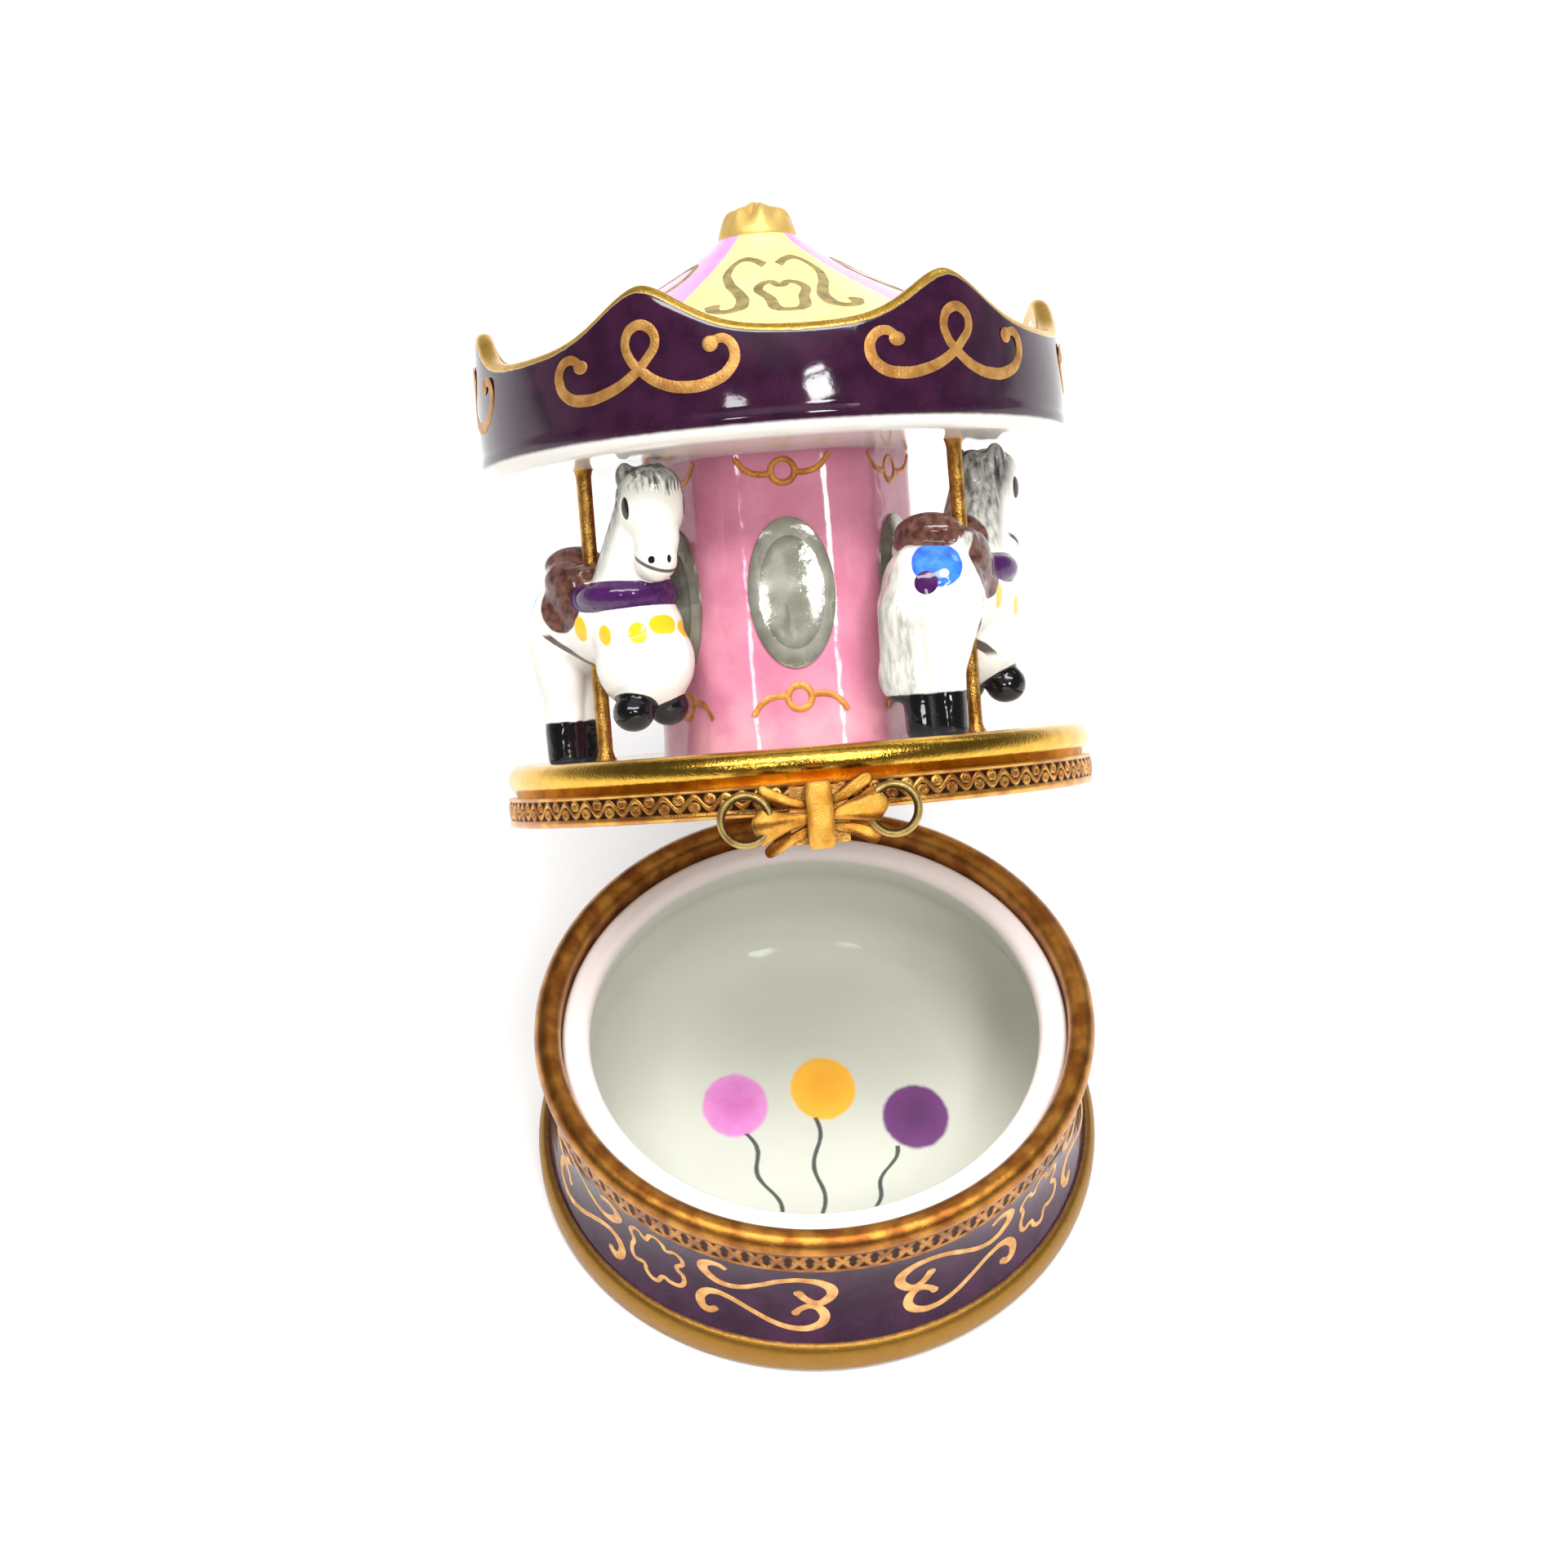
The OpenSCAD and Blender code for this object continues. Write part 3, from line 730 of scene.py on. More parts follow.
def makeMirrors():
    s = mirror
    look = makeMirrorLook()
    clear()
    bpy.ops.mesh.primitive_circle_add(vertices=96, radius=mm, fill_type="NGON", rotation=(math.pi / 2, 0, 0))
    first = named("mirror_glass_1")
    bpy.ops.object.transform_apply(rotation=True)
    bpy.ops.object.mode_set(mode="EDIT")
    bpy.ops.mesh.select_all(action="SELECT")
    bpy.ops.transform.resize(value=(s["width"] / 2, 1, s["height"] / 2))
    out = -(s["thick"] - s["sink"]) * mm
    bpy.ops.mesh.extrude_region_move(TRANSFORM_OT_translate={"value": (0, out * 0.5, 0)})
    scale = 1
    depth = 0.5
    for size, reach in s["rings"]:
        bpy.ops.mesh.extrude_region_move(TRANSFORM_OT_translate={"value": (0, out * (reach - depth), 0)})
        bpy.ops.transform.resize(value=(size / scale, 1, size / scale))
        scale = size
        depth = reach
    bpy.ops.mesh.select_all(action="SELECT")
    outward()
    bpy.ops.object.mode_set(mode="OBJECT")
    co = points(first)
    ratio = np.hypot(co[:, 0] / (s["width"] / 2), co[:, 2] / (s["height"] / 2))
    # painted shade along the rim's dark outline, and in the crease where the bevel meets the glass
    rim = np.clip((ratio - 0.95) / 0.04, 0, 1)
    mark(first, "rim", np.maximum(rim, (abs(ratio - s["bevelEnd"]) < 0.01) * 0.8))
    smoothBy(first, 30)
    base = points(first)
    base[:, 2] += mirrorMid
    base[:, 1] -= columnFlat
    for k, angle in enumerate(faceAngles):
        piece = first if k == 0 else copied(first, f"mirror_glass_{k + 1}")
        setPoints(piece, swung(base, angle + math.pi / 2))
    for k in range(6):
        piece = bpy.data.objects[f"mirror_glass_{k + 1}"]
        place(piece, "lid", look, "mirror_silver", f"mirror_{k + 1}")
    print("mirrors set")


# canopy

canopy = {"low": 8.7, "rise": 4.2, "width": 11.8, "power": 1.75, "wall": 1.9, "round": 1.7, "rim": 0.75,
          "roofRise": 19.6, "roofPower": 0.855, "neck": 3.4, "turn": 3.8, "steps": 432, "soffitHole": 1.2}


def roofZ(r):
    s = canopy
    inner = canopyR - s["wall"]
    drop = (s["roofRise"] - s["low"] + 0.7) * (max(0, r - s["neck"]) / (inner - s["neck"])) ** s["roofPower"]
    return soffit + s["roofRise"] - drop


def scallop(turn):
    # height of the valance's edge above its low points, for an angle in degrees
    s = canopy
    off = np.abs((turn - s["turn"] + 30) % 60 - 30)
    return s["rise"] * np.exp(-(off / s["width"]) ** s["power"])


def makeCanopyGlaze():
    s = canopy
    made, shader, flow = finish("canopyGlaze")
    point = lidPoint(flow)
    x, y, z = point.axes()
    reach = (x * x + y * y).math("SQRT")
    turn = y.math("ARCTAN2", x) * (180 / math.pi)
    wobble = point.noise(1.3, 3) - 0.5
    # distance below the valance's edge
    off = abs((turn - s["turn"] + 390).math("MODULO", 60) - 30)
    peak = ((off / s["width"]).math("POWER", s["power"]) * -1).math("EXPONENT")
    edgeZ = peak * s["rise"] + (soffit + s["low"])
    below = edgeZ - z
    outside = reach.step(canopyR - 1.0, canopyR - 0.5)
    valance = outside * (below + wobble * 0.15).step(0.55, 0.75)
    valance = valance * (z + wobble * 0.1).step(soffit + 0.8, soffit + 1.15)
    roof = reach.step(canopyR - s["wall"] - 0.2, canopyR - s["wall"] - 0.5) * z.step(soffit + 3, soffit + 4)
    # gold over the edge, and further down its inner side
    inner = reach.step(canopyR - 0.9, canopyR - 1.4)
    gilt = (below - inner * 1.1 + wobble * 0.15).step(0.75, 0.55)
    gilt = gilt * (1 - roof) * z.step(soffit + 3, soffit + 4)
    crown = (z + wobble * 0.15).step(soffit + s["roofRise"] - 0.15, soffit + s["roofRise"] + 0.05)
    gilt = gilt.atLeast(crown)
    cloud = point.noise(0.4, 4)
    purpleGlaze = (cloud + (point.noise(5, 4) - 0.5) * 0.4).step(0.3, 0.7).blend(purpleDeep, purple)
    white = cloud.blend(tone(220, 216, 206), tone(236, 232, 224))
    # cream and pink panels in turn, the cream a little wider
    panel = (turn - s["turn"] + 480 + wobble * 1.5).math("MODULO", 120)
    pinkPanel = panel.step(63.2, 64.8) * panel.step(116.8, 115.2)
    cream = cloud.blend(tone(244, 226, 130), tone(253, 240, 170))
    pink = cloud.blend(tone(226, 140, 202), tone(238, 172, 220))
    colour = valance.blend(white, purpleGlaze)
    colour = roof.blend(colour, pinkPanel.blend(cream, pink))
    giltColour, giltRough, giltLumps = giltLook(point)
    # the finial's gold is paler and more matt
    giltColour = (crown * 0.8).blend(giltColour, tone(222, 190, 112))
    colour = gilt.blend(colour, giltColour)
    rough = gilt * (giltRough - 0.07) + crown * 0.2 + 0.07
    feed(flow, shader, colour=colour, metal=gilt * 0.8 - crown * 0.3, rough=rough,
         normal=bump(flow, giltLumps * gilt * 0.8 + cloud * 0.5, 0.04))
    return made


def makeCanopy():
    s = canopy
    inner = canopyR - s["wall"]
    peak = soffit + s["low"] + s["rise"]
    bottom = soffit + 2
    outline = [(s["soffitHole"], soffit), (12, soffit), (canopyR - s["round"] - 1, soffit)]
    outline += arc(canopyR - s["round"], soffit + s["round"], s["round"], -85, 0, 7)
    outline += [(canopyR - 0.25 * ((z - soffit - 6) / 6) ** 2, z)
                for z in np.linspace(bottom, peak - s["rim"], 16)]
    middle = canopyR - s["wall"] / 2 - 0.15
    half = s["wall"] / 2 - 0.15
    outline += [(middle + half * math.cos(a), peak - s["rim"] + s["rim"] * math.sin(a))
                for a in np.linspace(0.15, math.pi - 0.15, 10)]
    gutter = roofZ(inner)
    outline += [(inner, z) for z in np.linspace(peak - s["rim"], gutter + 0.4, 8)]
    outline += [(r, roofZ(r) + 0.3 * math.exp(-(inner - r) / 0.4))
                for r in np.linspace(inner - 0.15, s["neck"], 26)]
    # the gathered finial: a skirt, a shoulder and a puckered top
    crownZ = soffit + s["roofRise"]
    tall = canopyTop - crownZ
    outline += [(3.42, crownZ + 0.02 * tall), (3.4, crownZ + 0.12 * tall), (3.22, crownZ + 0.3 * tall),
                (2.95, crownZ + 0.46 * tall), (2.7, crownZ + 0.58 * tall), (2.45, crownZ + 0.66 * tall),
                (2.1, crownZ + 0.71 * tall), (1.6, crownZ + 0.76 * tall), (1.15, crownZ + 0.84 * tall),
                (0.8, crownZ + 0.93 * tall), (0.45, crownZ + 0.99 * tall), (0.12, canopyTop)]
    piece = turned("canopy_shell", outline, s["steps"])
    co = points(piece)
    reach = np.hypot(co[:, 0], co[:, 1])
    angle = np.degrees(np.arctan2(co[:, 1], co[:, 0]))
    # draw the wall down to the scalloped edge between the peaks
    top = soffit + s["low"] + scallop(angle)
    inWall = (reach > inner - 0.02) & (co[:, 2] > bottom)
    low = np.where(reach < canopyR - s["wall"] + 0.02, gutter + 0.3, bottom)
    lift = np.clip((co[:, 2] - low) / (peak - low), 0, 1)
    co[:, 2] = np.where(inWall, low + lift * (top - low), co[:, 2])
    # folds of the finial, deepest at its shoulder
    crown = np.clip((co[:, 2] - crownZ) / tall, 0, 1) * (reach < 4)
    fold = np.sin(np.radians(angle * 8) + 0.6) + 0.5 * np.sin(np.radians(angle * 5) + 2)
    deep = crown * np.exp(-((crown - 0.68) / 0.3) ** 2)
    co[:, :2] *= (1 + 0.13 * fold * deep)[:, None]
    co[:, 2] += 0.28 * fold * np.exp(-((reach - 1.9) / 0.75) ** 2) * (crown > 0.3)
    co[:, 2] -= 0.15 * (1 - np.cos(np.radians(angle * 3))) * np.exp(-(reach / 0.9) ** 2) * (crown > 0.3)
    setPoints(piece, co)
    smoothBy(piece, 50)
    place(piece, "lid", makeCanopyGlaze(), "canopy_porcelain", "canopy")
    print("canopy turned and scalloped")


# painted gold

valanceScroll = {
    "path": [(-5.6, 7.2), (-6.6, 7.7), (-7.7, 7.2), (-8.0, 6.0), (-7.2, 4.8), (-5.4, 4.3), (-3.1, 4.6),
             (-1.0, 5.5),
             (0.6, 6.8), (1.5, 8.2), (0.9, 9.4), (-0.3, 9.5), (-1.1, 8.5), (-0.9, 7.2), (0.2, 5.9),
             (1.8, 4.8),
             (3.8, 4.3), (5.8, 4.5), (7.4, 5.4), (7.9, 6.7), (7.2, 7.8), (6.1, 7.7)],
    "widths": [0.55, 0.6, 0.65, 0.75, 0.75, 0.75, 0.7, 0.65, 0.6, 0.6, 0.65, 0.65, 0.6, 0.6, 0.65, 0.7,
               0.75, 0.75, 0.7, 0.65, 0.6, 0.55],
    "dabs": [(-5.6, 7.0, 1.45, 1.15), (6.0, 7.5, 1.3, 1.3)]}
baseScroll = {
    "upper": [(-4.3, 12.0), (-5.0, 12.5), (-6.1, 12.3), (-6.6, 11.4), (-6.0, 10.3), (-4.8, 9.6), (-3.2, 9.7),
              (-1.2, 10.7), (0.8, 11.8), (2.8, 12.1), (4.4, 11.5), (5.2, 10.3), (4.8, 9.1), (3.8, 8.5),
              (2.9, 9.0),
              (2.2, 9.9)],
    "upperWidths": [0.45, 0.6, 0.75, 0.85, 0.75, 0.6, 0.5, 0.5, 0.55, 0.65, 0.8, 0.85, 0.75, 0.6, 0.6, 0.65],
    "lower": [(-5.5, 5.6), (-6.3, 5.4), (-6.9, 6.2), (-6.6, 7.4), (-5.6, 8.0), (-4.2, 7.8), (-2.2, 6.8),
              (-0.2, 5.7),
              (1.8, 5.1), (3.4, 5.3), (4.4, 6.2), (4.3, 7.4), (3.4, 8.1), (2.4, 7.7), (1.8, 7.0)],
    "lowerWidths": [0.55, 0.65, 0.75, 0.7, 0.6, 0.5, 0.45, 0.45, 0.5, 0.6, 0.75, 0.75, 0.6, 0.5, 0.55],
    "dabs": [(2.2, 9.9, 0.95, 0.9), (1.9, 7.1, 0.8, 0.75), (-5.5, 5.7, 0.75, 0.7)]}
cloudLine = {
    "path": [(-2.6, 9.6), (-2.9, 11.0), (-2.0, 11.8), (-1.1, 11.0), (-0.9, 11.4), (-0.1, 12.4), (0.9, 11.7),
             (1.1, 11.1), (2.2, 11.4), (2.9, 10.3), (2.2, 9.2), (2.9, 8.3), (2.7, 7.0), (1.6, 6.7),
             (0.8, 6.9),
             (0.0, 5.9), (-1.1, 6.4), (-1.4, 7.2), (-2.6, 7.2), (-2.9, 8.5)],
    "width": 0.5}
roofScroll = {
    "path": [(-4.0, 8.6), (-10.0, 7.6), (-19.0, 7.5), (-23.0, 9.2), (-19.5, 11.8), (-14.5, 14.0),
             (-12.5, 16.0),
             (-15.0, 17.6), (-19.5, 17.4), (-21.5, 16.2)],
    "widths": [0.75, 0.55, 0.5, 0.6, 0.6, 0.6, 0.6, 0.6, 0.5, 0.7]}
roofHeart = {"path": [(-7.5, 12.9), (-3.0, 12.1), (0.5, 12.9), (4.0, 12.2), (8.5, 13.0), (6.5, 15.2),
                      (0.5, 18.2), (-4.6, 15.3)], "width": 0.75}
roofOval = {"path": [(0, 7.0), (8, 8.4), (8, 11.4), (0, 13.4), (-8, 11.4), (-8, 8.4)], "width": 0.75}
ornament = {"ring": 1.0, "wire": 0.62, "top": 10.2, "bottom": 8.8,
            "wing": [(1.0, 0.15), (1.9, 0.2), (3.0, -0.15), (4.0, -1.3)], "wingWidths": [0.6, 0.6, 0.6, 0.5]}


def onValance(co, angle, radius):
    turn = angle + co[:, 0] / radius
    reach = radius - co[:, 1]
    return np.stack([reach * np.cos(turn), reach * np.sin(turn), co[:, 2] + soffit], 1)


def onWall(co, angle, mirrored=1):
    turn = angle + mirrored * co[:, 0] / (collarR - 0.6)
    reach = np.array([wallR(z) for z in co[:, 2]]) - co[:, 1]
    return np.stack([reach * np.cos(turn), reach * np.sin(turn), co[:, 2]], 1)


def onRoof(co, angle, mirrored=1):
    # x is degrees round the roof, z the distance out from its middle
    turn = angle + mirrored * np.radians(co[:, 0])
    reach = co[:, 2] - co[:, 1] * 0.45
    rise = np.array([roofZ(r) for r in co[:, 2]]) - co[:, 1] * 0.89
    return np.stack([reach * np.cos(turn), reach * np.sin(turn), rise], 1)


def paintValance(look):
    s = valanceScroll
    parts = [stroke("scroll", s["path"], [w * 1.35 for w in s["widths"]], 0.16)]
    parts += [dab("dab", x, z, w, h, 0.16) for x, z, w, h in s["dabs"]]
    motif = joined("motif", parts)
    made = []
    for k in range(6):
        piece = copied(motif, f"valance_scroll_{k + 1}")
        setPoints(piece, onValance(points(motif), math.radians(60 * k + canopy["turn"]), canopyR))
        made.append(piece)
    bpy.data.objects.remove(motif)
    scrolls = joined("valance_scrolls", made)
    smoothBy(scrolls, 60)
    place(scrolls, "lid", look, "canopy_porcelain")


def fused(name, made, body, look, slot):
    painted = joined(name, made)
    editAll(lambda: bpy.ops.mesh.normals_make_consistent(inside=False))
    smoothBy(painted, 60)
    place(painted, body, look, slot)


def paintBase(look):
    s = baseScroll
    parts = [stroke("upper", s["upper"], [w * 1.3 for w in s["upperWidths"]], 0.16),
             stroke("lower", s["lower"], [w * 1.3 for w in s["lowerWidths"]], 0.16),
             *(dab("dab", x, z, w, h, 0.22) for x, z, w, h in s["dabs"])]
    motif = joined("motif", parts)
    path = cloudLine["path"]
    cloud = stroke("cloud", path, [cloudLine["width"]] * len(path), 0.22, closed=True)
    made = []
    for k in range(4):
        quarter = 90 * k
        for source, offset, mirrored in ((motif, -104, 1), (motif, -66, -1), (cloud, -130.5, 1)):
            piece = copied(source, "painted")
            setPoints(piece, onWall(points(source), math.radians(offset + quarter), mirrored))
            made.append(piece)
    bpy.data.objects.remove(motif)
    bpy.data.objects.remove(cloud)
    fused("base_scrolls", made, "base", look, "painted_porcelain")


def roofStroke(name, path, widths, closed=False):
    # drawn in true lengths at mid roof, then opened out to degrees
    middle = 12 * math.pi / 180
    piece = stroke(name, [(x * middle, z) for x, z in path], widths, 0.18, closed)
    co = points(piece)
    co[:, 0] /= middle
    setPoints(piece, co)
    return piece


def paintRoof(look):
    scroll = roofStroke("scroll", roofScroll["path"], [w * 1.5 for w in roofScroll["widths"]])
    heart = roofStroke("heart", roofHeart["path"], [roofHeart["width"]] * len(roofHeart["path"]), True)
    oval = roofStroke("oval", roofOval["path"], [roofOval["width"]] * len(roofOval["path"]), True)
    made = []
    for k in range(6):
        angle = math.radians(-90 + 60 * k + canopy["turn"])
        shapes = ((scroll, 1), (scroll, -1), (heart, 1)) if k % 2 == 0 else ((oval, 1),)
        for source, mirrored in shapes:
            piece = copied(source, "painted")
            setPoints(piece, onRoof(points(source), angle, mirrored))
            made.append(piece)
    for source in (scroll, heart, oval):
        bpy.data.objects.remove(source)
    fused("roof_scrolls", made, "lid", look, "canopy_porcelain")


def paintColumn(look):
    s = ornament
    turn = [i * math.pi / 4 for i in range(8)]
    circle = [(s["ring"] * math.cos(a), s["ring"] * math.sin(a)) for a in turn]
    ring = stroke("ring", circle, [s["wire"]] * 8, 0.4, True)
    right = stroke("wing", s["wing"], s["wingWidths"], 0.4)
    left = stroke("wing", [(-x, z) for x, z in s["wing"]], s["wingWidths"], 0.4)
    motif = joined("motif", [ring, right, left])
    made = []
    for angle in faceAngles:
        for side in (1, -1):
            # the arms bend away from the mirror above and below it
            piece = copied(motif, "ornament")
            co = points(motif)
            upright = mirrorMid - s["bottom"] if side > 0 else mirrorMid + s["top"]
            flat = np.stack([co[:, 0], -(columnFlat + co[:, 1]), co[:, 2] * side + upright], 1)
            setPoints(piece, swung(flat, angle + math.pi / 2))
            made.append(piece)
    bpy.data.objects.remove(motif)
    fused("column_ornaments", made, "lid", look, "pink_porcelain")


# horses

horse = {"voxel": 0.22, "smooth": 8, "drawn": 23.7, "inset": 1.2, "turns": (3, 9, 16)}
# plump cast shapes: middle and half sizes, forwards, to the column, up
horseLumps = [
    ((0.3, 0, 11.7), (6.0, 3.85, 4.1)), ((-3.2, 0, 11.8), (4.5, 4.3, 4.4)), ((3.7, 0.2, 10.6),
    (3.7, 4.0, 3.5)),
    ((4.2, 0.4, 7.9), (4.0, 4.2, 4.1)), ((7.4, -0.3, 20.4), (2.7, 2.75, 3.3)), ((7.5, -0.3, 21.9),
    (2.5, 2.6, 1.9)),
    ((8.0, -0.5, 17.9), (1.85, 1.9, 2.6)), ((7.95, -0.7, 16.0), (1.85, 1.7, 1.85)),
    ((5.4, 0, 20.8), (2.1, 1.8, 2.9)), ((4.0, 0, 17.2), (1.9, 1.6, 2.9)), ((7.7, -0.2, 22.5),
    (1.7, 1.6, 0.95)),
    ((6.2, 1.7, 22.8), (0.85, 0.85, 1.3)), ((6.2, -1.8, 22.8), (0.85, 0.85, 1.3)),
    ((-0.6, 0, 15.6), (3.2, 3.0, 1.1)), ((-3.5, 0, 16.5), (2.0, 3.0, 1.7)), ((2.0, 0, 16.1), (0.9, 1.6, 1.1)),
    ((-2.2, 2.3, 15.2), (2.0, 1.6, 1.7)), ((-2.2, -2.3, 15.2), (2.0, 1.6, 1.7)),
    ((-1.2, 3.1, 13.7), (2.2, 0.95, 2.8)), ((-1.2, -3.1, 13.7), (2.2, 0.95, 2.8)),
    ((-6.3, 2.4, 5.2), (1.5, 1.5, 2.3)), ((4.9, -1.8, 3.8), (1.7, 1.75, 1.6)), ((4.9, 1.9, 4.1),
    (1.7, 1.7, 1.6))]
# limbs: from, to, and the radius at each end
horseLimbs = [
    ((3.0, 0, 12.8), (6.0, 0, 20.1), 3.4, 2.45),
    ((-5.6, 0.6, 14.4), (-6.9, 1.7, 10.0), 1.2, 1.5), ((-6.9, 1.7, 10.0), (-6.6, 2.3, 6.6), 1.5, 1.2),
    ((-4.3, 1.7, 10.5), (-4.9, 0.9, 5.2), 2.8, 1.75), ((-4.3, -1.9, 10.5), (-4.9, -1.3, 5.2), 2.8, 1.75),
    ((-4.9, 0.9, 5.2), (-5.0, 0.8, 1.9), 1.75, 1.6), ((-4.9, -1.3, 5.2), (-5.0, -1.4, 1.9), 1.75, 1.6)]


def makeHorseGlaze():
    made, shader, flow = finish("horseGlaze")
    point = flow.node("ShaderNodeAttribute", {"attribute_name": "horsePlace"}, {}, "Vector")
    x, y, z = point.axes()
    mirrored = flow.node("ShaderNodeCombineXYZ", {}, {0: x, 1: abs(y), 2: z})
    wobble = (point.noise(1.1, 3) - 0.5) * 0.5
    values = {"Vector": point, "Scale": (1.5, 2.1, 0.3)}
    streak = point.node("ShaderNodeMapping", {}, values).noise(1.2, 3, 0.6)
    colour = point.noise(0.3, 2).blend(tone(226, 222, 210), tone(244, 241, 234))
    # brushed grey mane, forelock and tail
    mane = (z * 0.5 - 4.0 - x + wobble * 1.6 + streak * 1.6).step(-0.2, 1.6) * z.step(14.2, 16)
    forelock = (mirrored.near((7.7, 0.2, 23.2), (3.0, 2.7, 2.7)) + (streak - 0.5) * 1.2).step(1.08, 0.85)
    tailHair = (x - wobble).step(-4.6, -5.8) * z.step(15, 13)
    tailHair = tailHair * point.near((-6.7, 2.2, 8), (3, 2.3, 9)).step(1, 0.75)
    hair = mane.atLeast(forelock).atLeast(tailHair * 0.8)
    # darkest at the crown
    crown = z.step(16, 22)
    grey = (streak.step(0.25, 0.75) * 0.6 + 0.38 - crown * 0.42).atLeast(0)
    grey = grey.blend(tone(52, 53, 54), tone(190, 190, 182))
    colour = (hair * (streak.step(0.8, 0.3) * 0.35 + 0.65)).blend(colour, grey)
    # blanket, saddle and girth
    blanket = (point.near((-6.2, -2.1, 13.9), (2.1, 2.1, 2.2)) + wobble * 0.25).step(1.03, 0.97)
    blue = point.noise(0.9, 3).step(0.3, 0.7).blend(tone(36, 90, 200), tone(66, 132, 232))
    colour = blanket.blend(colour, blue)
    dots = point.near((-6.9, -1.4, 15.0), (0.6, 0.36, 0.36))
    for spot in ((-6.9, -2.4, 14.2), (-6.6, -2.8, 13.0)):
        dots = dots.atMost(point.near(spot, (0.6, 0.36, 0.36)))
    colour = dots.step(1.1, 0.9).blend(colour, tone(236, 238, 240))
    plum = point.noise(1.6, 3).blend(tone(44, 16, 58), tone(82, 34, 96))
    colour = point.near((-7.3, -1.5, 12.3), (1.1, 0.95, 0.95)).step(1.04, 0.96).blend(colour, plum)
    leather = point.noise(1.3, 4).step(0.3, 0.7).blend(tone(58, 30, 26), tone(112, 74, 64))
    cantle = mirrored.near((-4.0, 0, 17.2), (2.4, 3.7, 2.7))
    seat = mirrored.near((-0.9, 0, 16.3), (4.3, 3.8, 2.5)).atMost(cantle)
    flap = mirrored.near((-1.0, 3.7, 13.7), (2.5, 1.9, 2.9))
    saddle = (seat.atMost(flap) + wobble * 0.12).step(1.04, 0.97)
    girth = (abs(x + z - 8.0) + wobble * 0.2).step(0.42, 0.3) * z.step(11, 10.6) * z.step(6.0, 6.6)
    colour = (girth * 0.92).blend(colour, tone(66, 42, 38))
    colour = saddle.blend(colour, leather)
    # collar and the spots under it
    ring = flow.node("ShaderNodeCombineXYZ", {}, {0: x - 2.9, 1: y, 2: 0.0}).length()
    away = (ring - 3.2) * (ring - 3.2) / 1.9 + (z - 13.4) * (z - 13.4) / 1.5
    band = away.step(1.1, 1.0) * z.step(12, 12.3)
    colour = band.blend(colour, plum)
    spots = mirrored.near((6.7, 2.2, 10.2), (0.8, 0.8, 0.9))
    for spot, size in (((7.6, 0.3, 10.8), (0.95, 1.2, 0.85)), ((4.3, 4.0, 10.2), (0.7, 0.9, 0.95)),
                       ((1.2, 3.9, 10.9), (0.7, 0.9, 1.15))):
        spots = spots.atMost(mirrored.near(spot, size))
    colour = (spots + wobble * 0.15).step(1.08, 0.9).blend(colour, tone(248, 190, 36))
    # black hooves and shanks
    hind = (z + wobble * 0.6).step(3.6, 3.4) * x.step(-1.5, -2)
    fore = (mirrored.near((4.9, 1.85, 3.7), (2.2, 2.2, 1.95)) + wobble * 0.1).step(1.03, 0.97)
    colour = hind.atLeast(fore).blend(colour, tone(14, 13, 15))
    # face, turned a little outwards
    dark = point.near((7.3, -3.1, 20.2), (0.5, 0.8, 0.95))
    for spot, size in (((9.3, 1.8, 20.2), (0.7, 0.7, 0.95)), ((9.2, -2.1, 15.9), (0.5, 0.24, 0.36)),
                       ((9.9, -0.8, 15.9), (0.5, 0.22, 0.36))):
        dark = dark.atMost(point.near(spot, size))
    # the smile climbs from the chin to the cheeks
    smile = (abs(z - 14.75 - (9.7 - x) * 0.6) + wobble * 0.1).step(0.24, 0.12) * x.step(6.8, 7.3)
    colour = dark.step(1.06, 0.92).atLeast(smile * 0.9).blend(colour, tone(24, 22, 22))
    feed(flow, shader, colour=colour, rough=point.noise(1.5, 2) * 0.06 + 0.06,
         normal=bump(flow, point.noise(0.6, 2) + hair * streak * 0.35, 0.12))
    return made


def limb(start, end, r0, r1):
    clear()
    a, b = Vector(start), Vector(end)
    along = b - a
    bpy.ops.mesh.primitive_cone_add(vertices=24, radius1=r0 * mm, radius2=r1 * mm, depth=along.length * mm,
                                    location=(a + b) / 2 * mm,
                                    rotation=along.to_track_quat("Z", "Y").to_euler())
    made = [bpy.context.object]
    for at, radius in ((a, r0), (b, r1)):
        bpy.ops.mesh.primitive_uv_sphere_add(segments=24, ring_count=14, radius=radius * mm, location=at * mm)
        made.append(bpy.context.object)
    return made


